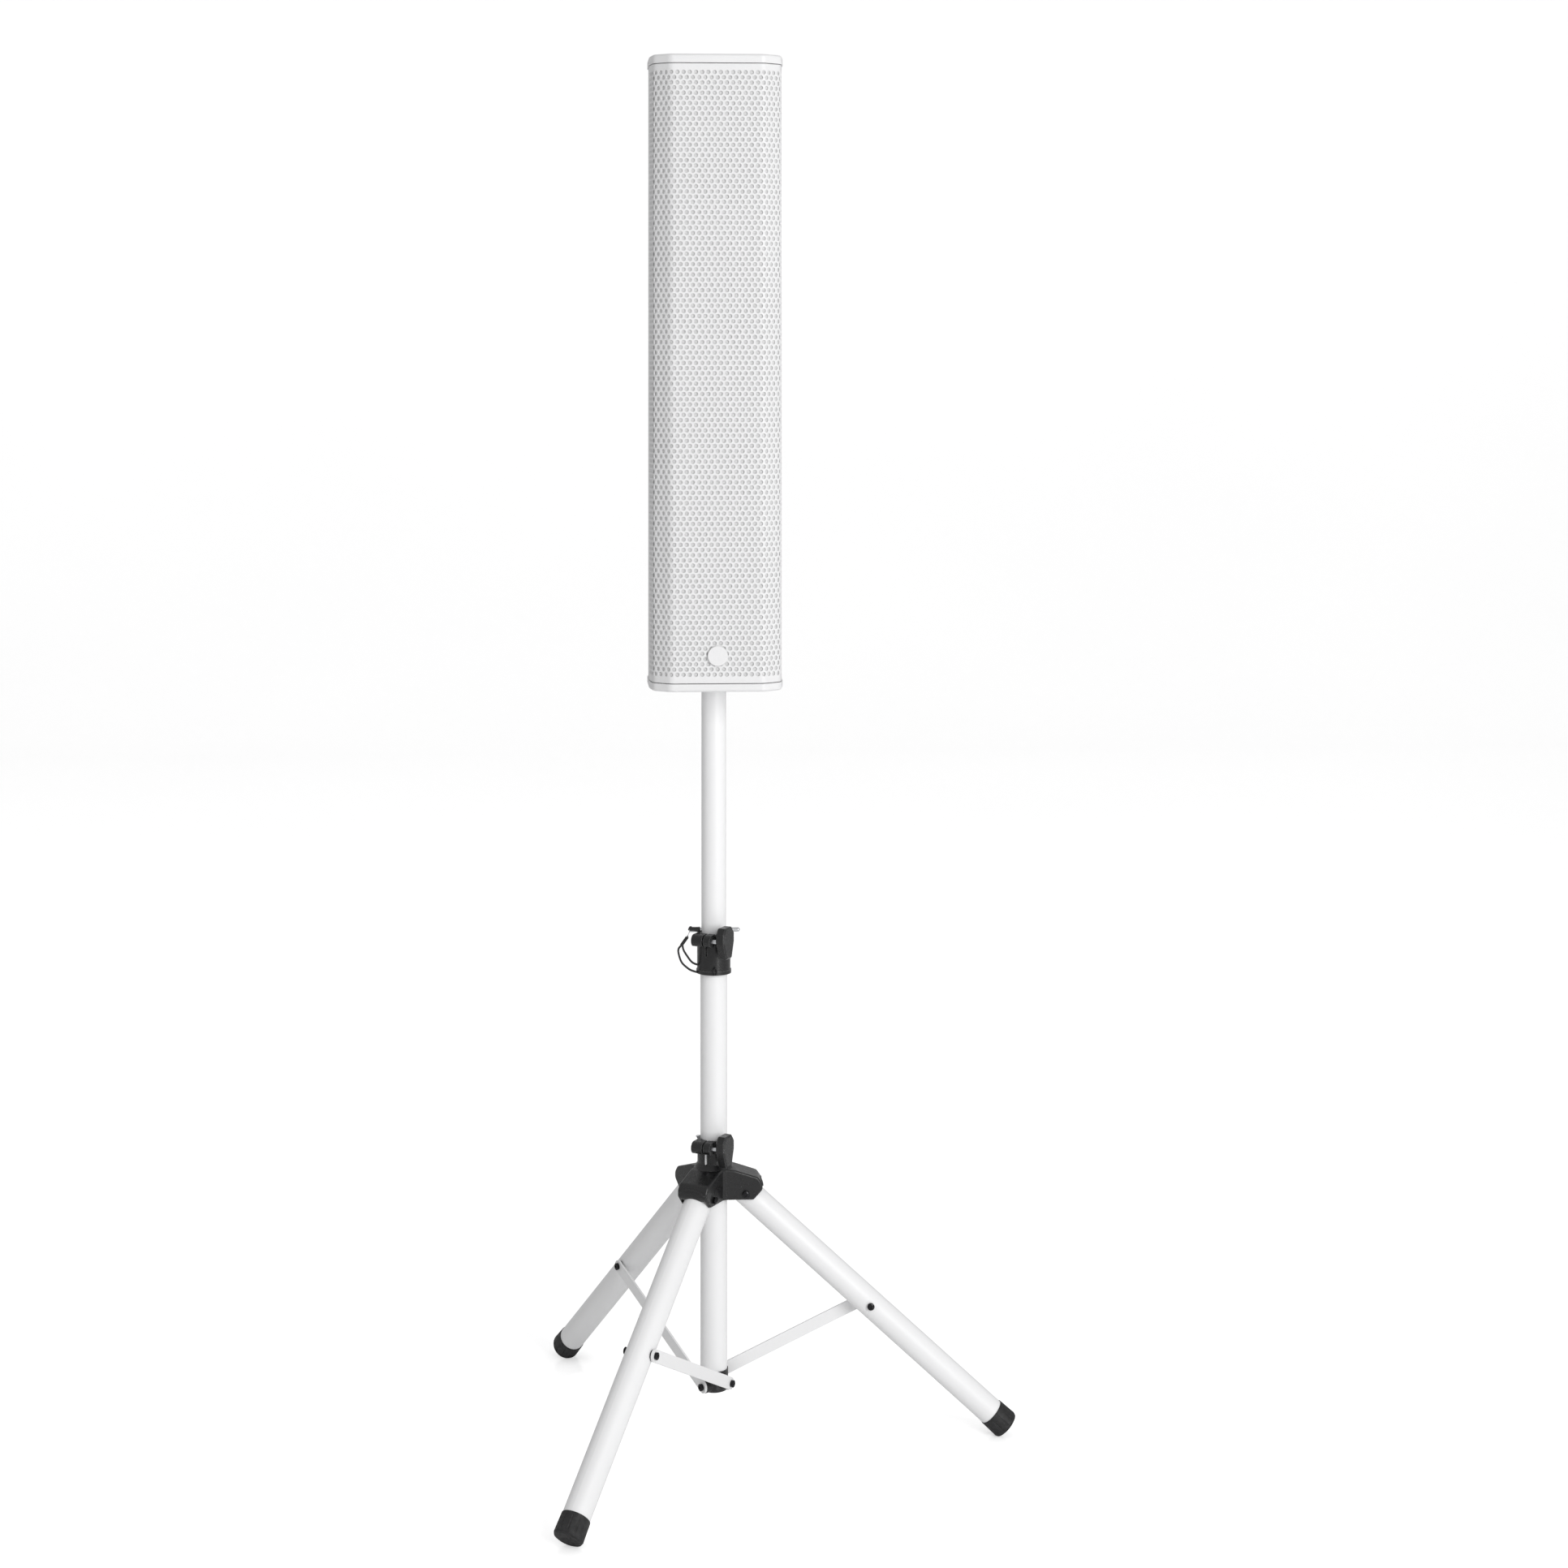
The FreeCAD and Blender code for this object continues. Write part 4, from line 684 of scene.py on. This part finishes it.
def grille_band(name, path, low_column, high_column, material):
    """One vertical band of the perforated sheet, closed all round."""
    low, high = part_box("grille")
    grid = GrilleGrid(path, low[2], high[2])
    is_first, is_last = low_column == 0, high_column == grid.columns
    for row in range(HOLE_ROWS):
        shift = 2 * (row % 2)
        for column in range(low_column, high_column):
            centre = 4 * column + 2 + shift
            if centre + 2 > 4 * grid.columns:
                grid.plain_square(centre - 2, 2 * row)
            else:
                grid.perforated_cell(centre, 2 * row + 1)
        if is_first and shift:
            grid.plain_square(0, 2 * row)
        for half in (0, 1):
            if is_first:
                grid.plain_cell(-1, 2 * row + half)
            if is_last:
                grid.plain_cell(4 * grid.columns, 2 * row + half)
    for row, shift in ((-1, 0), (2 * HOLE_ROWS, 2 * ((HOLE_ROWS - 1) % 2))):
        start = -1 if is_first else 4 * low_column + shift
        end = 4 * grid.columns + 1 if is_last else 4 * high_column + shift
        for column in range(start, end):
            grid.plain_cell(column, row)
    grid.close_rim()
    return add_piece(name, grid.verts, grid.faces, "column", material, 35)


def add_grille(materials):
    """The perforated wrap in three bands: left cheek, front and right cheek."""
    path = front_path()
    columns = int(path.length / HOLE_PITCH)
    splits = [0, columns // 3, columns - columns // 3, columns]
    bands = [
        grille_band(f"grille_{side}", path, low, high, materials["white_powder_coat"])
        for side, low, high in zip(("left", "front", "right"), splits, splits[1:])
    ]
    for band in bands:
        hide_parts("grille")
    return bands


FOAM_GAP = 0.0001
FOAM_THICKNESS = 0.0023
FOAM_UNEVENNESS = 0.0002
FOAM_END_MARGIN = 0.001
FOAM_SIDE_MARGIN = 0.003
FOAM_ROWS = 170
FOAM_COLUMNS = 60


def add_foam(materials):
    """The sheet of foam pressed against the grille's back, very slightly uneven."""
    low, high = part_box("grille_foam")
    foot, height = low[2] + FOAM_END_MARGIN, high[2] - low[2] - 2 * FOAM_END_MARGIN
    path = front_path(SHEET_THICKNESS + FOAM_GAP)
    chooser = random.Random(7)
    verts = []
    for depth, uneven in ((FOAM_UNEVENNESS, FOAM_UNEVENNESS), (FOAM_THICKNESS, 0.0)):
        for row in range(FOAM_ROWS + 1):
            up = foot + height * row / FOAM_ROWS
            for column in range(FOAM_COLUMNS + 1):
                across = (column / FOAM_COLUMNS - 0.5) * (path.length - 2 * FOAM_SIDE_MARGIN)
                place, normal = path.at(across)
                place = place - normal * (depth + uneven * chooser.random())
                verts.append((place.x, place.y, up))
    wide, sheet = FOAM_COLUMNS + 1, (FOAM_COLUMNS + 1) * (FOAM_ROWS + 1)
    faces = []
    for row in range(FOAM_ROWS):
        for column in range(FOAM_COLUMNS):
            corner = row * wide + column
            quad = [corner, corner + 1, corner + wide + 1, corner + wide]
            faces.append(quad)
            faces.append([sheet + index for index in reversed(quad)])
    edge = (list(range(wide))
            + [row * wide + wide - 1 for row in range(1, FOAM_ROWS + 1)]
            + [FOAM_ROWS * wide + column for column in range(wide - 2, -1, -1)]
            + [row * wide for row in range(FOAM_ROWS - 1, 0, -1)])
    for start, end in zip(edge, edge[1:] + edge[:1]):
        faces.append([start, end, sheet + end, sheet + start])
    piece = add_piece("foam_sheet", verts, faces, "column", materials["foam"])
    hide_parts("grille_foam")
    return piece


# ---------------------------------------------------------------- lanyard and pin grip


def smooth_curve(points, steps=10):
    """Catmull-Rom points through the given ones."""
    ends = [points[0] * 2 - points[1]] + points + [points[-1] * 2 - points[-2]]
    curve = []
    for first, start, end, last in zip(ends, ends[1:], ends[2:], ends[3:]):
        for step in range(steps):
            t = step / steps
            straight = 2 * start + (end - first) * t
            bend = (2 * first - 5 * start + 4 * end - last) * t ** 2
            twist = (3 * start - first - 3 * end + last) * t ** 3
            curve.append(0.5 * (straight + bend + twist))
    curve.append(points[-1])
    return curve


def swept(name, path, section, side, body, material, sharp_angle=40.0):
    """A closed sweep of a cross-section along a path; the section's own X axis stays along side."""
    verts = []
    for index, place in enumerate(path):
        along = (path[min(index + 1, len(path) - 1)] - path[max(index - 1, 0)]).normalized()
        across = (side - along * side.dot(along)).normalized()
        up = along.cross(across)
        verts += [place + across * x + up * y for x, y in section]
    around = len(section)
    faces = [list(reversed(range(around))), [len(verts) - around + index for index in range(around)]]
    for ring in range(len(path) - 1):
        for index in range(around):
            after = (index + 1) % around
            start = ring * around
            faces.append([start + index, start + after, start + around + after, start + around + index])
    return add_piece(name, verts, faces, body, material, sharp_angle)


def rounded_section(width, thickness, corner, steps=3):
    """A rectangle with rounded corners, as (x, y) points."""
    points = []
    for quarter, (right, top) in enumerate(((1, 1), (-1, 1), (-1, -1), (1, -1))):
        for step in range(steps + 1):
            angle = math.pi / 2 * (quarter + step / steps)
            points.append((right * (width / 2 - corner) + corner * math.cos(angle),
                           top * (thickness / 2 - corner) + corner * math.sin(angle)))
    return points


def lathe(name, profile, place, axis, body, material, sides=40, hexagonal=(), sharp_angle=32.0):
    """A closed turned piece from (radius, height) points; the rows listed as hexagonal are six-sided."""
    turn = Vector(axis).to_track_quat("Z", "Y").to_matrix()
    verts = []
    for row, (radius, height) in enumerate(profile):
        for side in range(sides):
            angle = 2 * math.pi * side / sides
            reach = radius
            if row in hexagonal:
                reach *= math.cos(math.pi / 6) / math.cos(angle % (math.pi / 3) - math.pi / 6)
            spot = Vector((reach * math.cos(angle), reach * math.sin(angle), height))
            verts.append(Vector(place) + turn @ spot)
    faces = [list(reversed(range(sides))), [len(verts) - sides + side for side in range(sides)]]
    for row in range(len(profile) - 1):
        for side in range(sides):
            after = (side + 1) % sides
            start = row * sides
            faces.append([start + side, start + after, start + sides + after, start + sides + side])
    return add_piece(name, verts, faces, body, material, sharp_angle)


def round_section(radius, sides):
    """A circle as (x, y) points."""
    return [(radius * math.cos(2 * math.pi * side / sides), radius * math.sin(2 * math.pi * side / sides))
            for side in range(sides)]


STRAP_WIDTH = 0.0038
STRAP_THICKNESS = 0.0028
STRAP_CORNER = 0.45 * STRAP_THICKNESS
CRIMP_SECTION = (0.0052, 0.0044, 0.0016)
LOOP_SECTION = (0.0016, 0.0016, 0.0007)
WIRE_RADIUS = 0.00045
WIRE_IN_GRIP = 0.0006
WIRE_BELOW_ROD = 0.0012
LANYARD_PLANE = -0.006
SIDEWAYS = Vector((0, 1, 0))

GRIP_LEFT = -0.0345
GRIP_RIGHT = -0.0193
GRIP_WALL = 0.0012
GRIP_CLEARANCE = 0.0001
GRIP_LAP = math.radians(8)
NOSE_SECTION = (0.0046, 0.0018, 0.0006)
STOP_SECTION = (0.0088, 0.0026, 0.0008)
STOP_INSET = 0.0013
STOP_ABOVE = 0.0006
STOP_BELOW = 0.0007
ROD_OVERHANG = 0.0006
ROD_CHAMFER = 0.0008


def add_lanyard(materials):
    """A looped strap from the collar's foot to a crimp, and a thin wire from there to the pin's grip."""
    collar_low, collar_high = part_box("upper_collar")
    pin_low, pin_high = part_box("safety_pin")
    rod_height = (pin_low[2] + pin_high[2]) / 2

    def hanging(*corners):
        """Points given in millimetres left of the collar's side and above its foot."""
        side, foot = -collar_high[1], collar_low[2]
        return smooth_curve([Vector((side - left * MM, LANYARD_PLANE, foot + up * MM))
                             for left, up in corners])

    band = rounded_section(STRAP_WIDTH, STRAP_THICKNESS, STRAP_CORNER)
    sleeve = rounded_section(*CRIMP_SECTION)
    thread = round_section(WIRE_RADIUS, 8)
    grip_end = Vector((GRIP_LEFT + WIRE_IN_GRIP, 0, rod_height - WIRE_BELOW_ROD))
    outer = hanging((-3, 0.8), (7, 4), (13.7, 8.3), (21, 15.7), (25, 26.7), (25.4, 34.5), (20.8, 40.5))
    inner = hanging((-3, 12), (2, 13.2), (7.1, 16.4), (12.2, 23), (18.1, 32.5), (20, 40.5))
    crimp = hanging((21.4, 39.6), (20.2, 41.3), (14, 50), (13.2, 51.2))
    wire = [crimp[-1], crimp[-1].lerp(grip_end, 0.5), grip_end]
    pieces = [
        swept("lanyard_outer_strap", outer, band, SIDEWAYS, None, materials["strap"]),
        swept("lanyard_inner_strap", inner, band, SIDEWAYS, None, materials["strap"]),
        swept("lanyard_crimp", crimp, sleeve, SIDEWAYS, None, materials["black_moulding"]),
        swept("lanyard_wire", smooth_curve(wire), thread, SIDEWAYS, None, materials["zinc_steel"]),
    ]
    for piece in pieces:
        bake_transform(piece)
    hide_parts("pin_lanyard")
    loop = [Vector((x * MM, -collar_high[1] - out * MM, collar_low[2] + up * MM))
            for x, out, up in ((-1.5, 0, 1), (-3, 1.8, 5), (-2.2, 2.2, 9), (0.6, 2.4, 11), (2.4, 2, 7),
                               (1.5, 0, 1))]
    swept("collar_loop", smooth_curve(loop), rounded_section(*LOOP_SECTION), SIDEWAYS, "mast",
          materials["black_metal"])


def half_sleeve_section(outer, inner, steps=12):
    """A C-shaped section that reaches a little past half way round."""
    section = []
    for reach, turns in ((outer, range(steps + 1)), (inner, range(steps, -1, -1))):
        for step in turns:
            angle = -GRIP_LAP + (math.pi + 2 * GRIP_LAP) * step / steps
            section.append((reach * math.cos(angle), reach * math.sin(angle)))
    return section


def add_pin_grip(materials):
    """A half sleeve over the pin's outer end, with a nose for the wire and a stop beside the pole."""
    black = materials["black_moulding"]
    pin_low, pin_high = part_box("safety_pin")
    radius = (pin_high[2] - pin_low[2]) / 2
    height = (pin_low[2] + pin_high[2]) / 2
    section = half_sleeve_section(radius + GRIP_WALL, radius + GRIP_CLEARANCE)
    spine = [Vector((GRIP_LEFT + (GRIP_RIGHT - GRIP_LEFT) * step / 6, 0, height)) for step in range(7)]
    cover = swept("pin_grip_cover", spine, section, SIDEWAYS, "pin", black)
    rod_end = GRIP_LEFT - ROD_OVERHANG
    rod = [(radius * 0.72, rod_end), (radius * 0.98, rod_end + ROD_CHAMFER),
           (radius * 0.98, pin_low[0] + 0.001), (radius * 0.9, pin_low[0] + 0.0012)]
    lathe("pin_rod_end", rod, (0, 0, height), (1, 0, 0), "pin", materials["zinc_steel"])
    nose = [Vector((GRIP_LEFT + along * MM, 0, height + radius + up * MM))
            for along, up in ((3.8, 0.4), (1.6, 1.3), (-0.4, -0.6), (-1.0, -3.2))]
    swept("pin_grip_nose", smooth_curve(nose), rounded_section(*NOSE_SECTION), SIDEWAYS, "pin", black)
    stop_top, stop_foot = height + radius + STOP_ABOVE, height - radius - STOP_BELOW
    stop = [Vector((GRIP_RIGHT - STOP_INSET, 0, end)) for end in (stop_top, stop_foot)]
    swept("pin_grip_stop", stop, rounded_section(*STOP_SECTION), SIDEWAYS, "pin", black)
    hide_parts("pin_grip")


# ---------------------------------------------------------------- bolt heads


HEAD_RADIUS = 0.005
HEAD_RISE = 0.0014
HEAD_SINK = 0.0004
HEAD_OUTLINE = (
    (1.03, 0.0), (1.02, 0.25), (0.9, 0.62), (0.68, 0.85), (0.5, 1.0), (0.46, 1.0), (0.42, 0.86), (0.42, 0.12),
)
SOCKET_ROWS = (6, 7, 8)


def button_head(name, place, axis, body, material):
    """A domed cap with a hexagon socket that finishes a plain bolt head."""
    profile = [(HEAD_RADIUS, -HEAD_SINK)]
    profile += [(HEAD_RADIUS * reach, HEAD_RISE * up) for reach, up in HEAD_OUTLINE]
    return lathe(name, profile, place, axis, body, material, 48, SOCKET_ROWS, 28.0)


def joint_frame(name):
    """A hinge's place and unit axis."""
    joint = next(joint for joint in frame["joints"] if joint["name"] == name)
    return Vector(joint["pos_m"]), Vector(joint["axis"]).normalized()


HEAD_SEARCH_RADIUS = 0.006


def head_beyond(node, place, axis, sign):
    """Where a node's outermost face lies along an axis through a place."""
    reach = 0
    for vertex in NODES[node].data.vertices:
        offset = vertex.co - place
        along = offset.dot(axis)
        if (offset - axis * along).length < HEAD_SEARCH_RADIUS:
            reach = max(reach, sign * along)
    return place + axis * sign * reach


def side_away_from(node, axis, place):
    """+1 or -1: the way along an axis that leads from a node's middle to a place."""
    low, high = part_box(node)
    return 1 if (place - (low + high) / 2).dot(axis) > 0 else -1


def add_bolt_heads(materials):
    """Socket heads on the leg pivots, the brace ends and the bracket."""
    black = materials["black_metal"]
    for index in (1, 2, 3):
        pivot, axis = joint_frame(f"leg_{index}_fold")
        low_pivot, low_axis = joint_frame(f"brace_{index}_swing")
        for side, sign in (("near", 1), ("far", -1)):
            face = head_beyond("leg_pivot_bolts", pivot, axis, sign)
            button_head(f"leg_pivot_head_{index}_{side}", face, axis * sign, "hub", black)
        outer = side_away_from(f"leg_{index}_tube", low_axis, low_pivot)
        face = head_beyond("bracket_bolts", low_pivot, low_axis, outer)
        button_head(f"bracket_bolt_head_{index}", face, low_axis * outer, "mast", black)
        low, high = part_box(f"brace_{index}_outer_bolt")
        middle = (low + high) / 2
        face = head_beyond(f"brace_{index}_outer_bolt", middle, low_axis, outer)
        button_head(f"brace_bolt_head_{index}", face, low_axis * outer, f"brace_{index}", black)
        face = head_beyond(f"leg_{index}_brace_stud", middle, low_axis, -outer)
        button_head(f"stud_head_{index}", face, low_axis * -outer, f"leg_{index}", black)


# ---------------------------------------------------------------- hub details

LIP_RISE = 0.0165
LIP_DROP = 0.0065
LIP_HALF_WIDTH = 0.0198
LIP_RADIUS = 0.0017
LIP_SINK = 0.25
LIP_STEPS = 12
LIP_SEARCH_REACH = 0.08


def add_arch_lips(materials):
    """A raised rim over the mouth of each arm, laid on the surface of the hub's nose."""
    hub = NODES["lower_hub"]
    section = round_section(LIP_RADIUS, 10)
    for index in (1, 2, 3):
        pivot, axis = joint_frame(f"leg_{index}_fold")
        out = Vector((pivot.x, pivot.y, 0)).normalized()
        rim = []
        for step in range(1 - LIP_STEPS, LIP_STEPS):
            angle = math.pi / 2 * step / LIP_STEPS
            rise = LIP_RISE - LIP_DROP * (1 - math.cos(angle))
            beside = axis * (LIP_HALF_WIDTH * math.sin(angle))
            start = pivot + out * LIP_SEARCH_REACH + beside + Vector((0, 0, rise))
            hit, place, normal, _ = hub.ray_cast(start, -out)
            if hit:
                rim.append(place - normal * LIP_RADIUS * LIP_SINK)
        swept(f"hub_lip_{index}", rim, section, Vector((0, 0, 1)), "hub", materials["black_moulding"], 60)


SLIT_ANGLE = math.radians(240)
SLIT_HIGHLIGHT_REACH = 0.0243
SLIT_HIGHLIGHT_LOW = 0.3975
SLIT_HIGHLIGHT_HIGH = 0.4125
SLIT_HIGHLIGHT_SECTION = (0.0019, 0.0036, 0.0003)
PEG_PLACE = (-0.0222, -0.0085)
PEG_TILT = -0.25
PEG_OUTLINE = ((0.0012, -0.006), (0.0012, 0.0015), (0.0024, 0.0042), (0.0026, 0.0052), (0.0021, 0.0056))


def add_clamp_details(materials):
    """A white rib near the mouth of the lower clamp's slit, standing in for light on the tube seen through it
    where the tube lies in shade, and the peg behind its left ear.
    """
    out = Vector((math.cos(SLIT_ANGLE), math.sin(SLIT_ANGLE), 0))
    side = Vector((0, 0, 1)).cross(out)
    # painted highlight: a white rib that makes the slit read as a lit white line
    rib = [out * SLIT_HIGHLIGHT_REACH + Vector((0, 0, height)) for height in (SLIT_HIGHLIGHT_LOW, SLIT_HIGHLIGHT_HIGH)]
    swept("slit_highlight_rib", rib, rounded_section(*SLIT_HIGHLIGHT_SECTION), side, "hub", materials["white_moulding"])
    clamp_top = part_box("lower_hub")[1][2]
    lathe("clamp_peg", PEG_OUTLINE, (*PEG_PLACE, clamp_top), (PEG_TILT, 0, 1), "hub",
          materials["zinc_steel"], 24)


# ---------------------------------------------------------------- wadding

WADDING_SPACING = 0.009
WADDING_START = (0.94, 0.5, 0.96)
WADDING_PRESSURE = 6
WADDING_FRAMES = 24
WADDING_LUMP = 0.0035
LUMPS_PER_METRE = 40
LUMP_SEED = Vector((11, 11, 11))


def wadding_block(size):
    """A block of even quads, the size of the fleece's box before it swells."""
    sides = [length * share for length, share in zip(size, WADDING_START)]
    spans = (size.x, sides[1], size.z)
    bm = bmesh.new()
    bmesh.ops.create_cube(bm, size=1)
    bmesh.ops.scale(bm, vec=sides, verts=bm.verts)
    for axis, length in enumerate(spans):
        edges = [edge for edge in bm.edges
                 if abs((edge.verts[0].co - edge.verts[1].co).normalized()[axis]) > 0.9]
        cuts = max(1, round(length / WADDING_SPACING))
        bmesh.ops.subdivide_edges(bm, edges=edges, cuts=cuts, use_grid_fill=True)
    mesh = bpy.data.meshes.new("wadding_fleece_body")
    bm.to_mesh(mesh)
    bm.free()
    return mesh


def inflate(piece):
    """Swell a piece by a short cloth simulation under pressure, and keep the result as its mesh."""
    cloth = piece.modifiers.new("inflate", "CLOTH").settings
    cloth.quality = 4
    cloth.mass = 0.2
    cloth.tension_stiffness = cloth.compression_stiffness = 8
    cloth.bending_stiffness = 0.4
    cloth.use_pressure = True
    cloth.uniform_pressure_force = WADDING_PRESSURE
    cloth.effector_weights.gravity = 0
    scene = bpy.context.scene
    for frame_number in range(1, WADDING_FRAMES + 1):
        scene.frame_set(frame_number)
    swollen = piece.evaluated_get(bpy.context.evaluated_depsgraph_get())
    blown = bpy.data.meshes.new_from_object(swollen)
    piece.modifiers.clear()
    scene.frame_set(1)
    piece.data = blown


def add_wadding(materials):
    """The cabinet's fleece, blown up by cloth simulation, teased by noise and held inside its box."""
    low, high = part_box("damping_wadding")
    size = high - low
    fleece = bpy.data.objects.new("wadding_fleece_body", wadding_block(size))
    bpy.context.scene.collection.objects.link(fleece)
    fleece.location = (low + high) / 2
    inflate(fleece)
    for vertex in fleece.data.vertices:
        lump = mathutils.noise.fractal(vertex.co * LUMPS_PER_METRE + LUMP_SEED, 0.6, 2.0, 4)
        vertex.co += vertex.normal * lump * WADDING_LUMP
        for axis in range(3):
            vertex.co[axis] = max(-size[axis] / 2, min(size[axis] / 2, vertex.co[axis]))
    fleece.data.materials.append(materials["wadding"])
    for polygon in fleece.data.polygons:
        polygon.use_smooth = True
    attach(fleece, "column")
    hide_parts("damping_wadding")


# ---------------------------------------------------------------- the whole scene

materials = make_materials()
finish_cad_nodes(materials)
add_grille(materials)
add_foam(materials)
add_lanyard(materials)
add_pin_grip(materials)
add_bolt_heads(materials)
add_arch_lips(materials)
add_clamp_details(materials)
add_wadding(materials)
add_floor()
add_light()
add_camera()
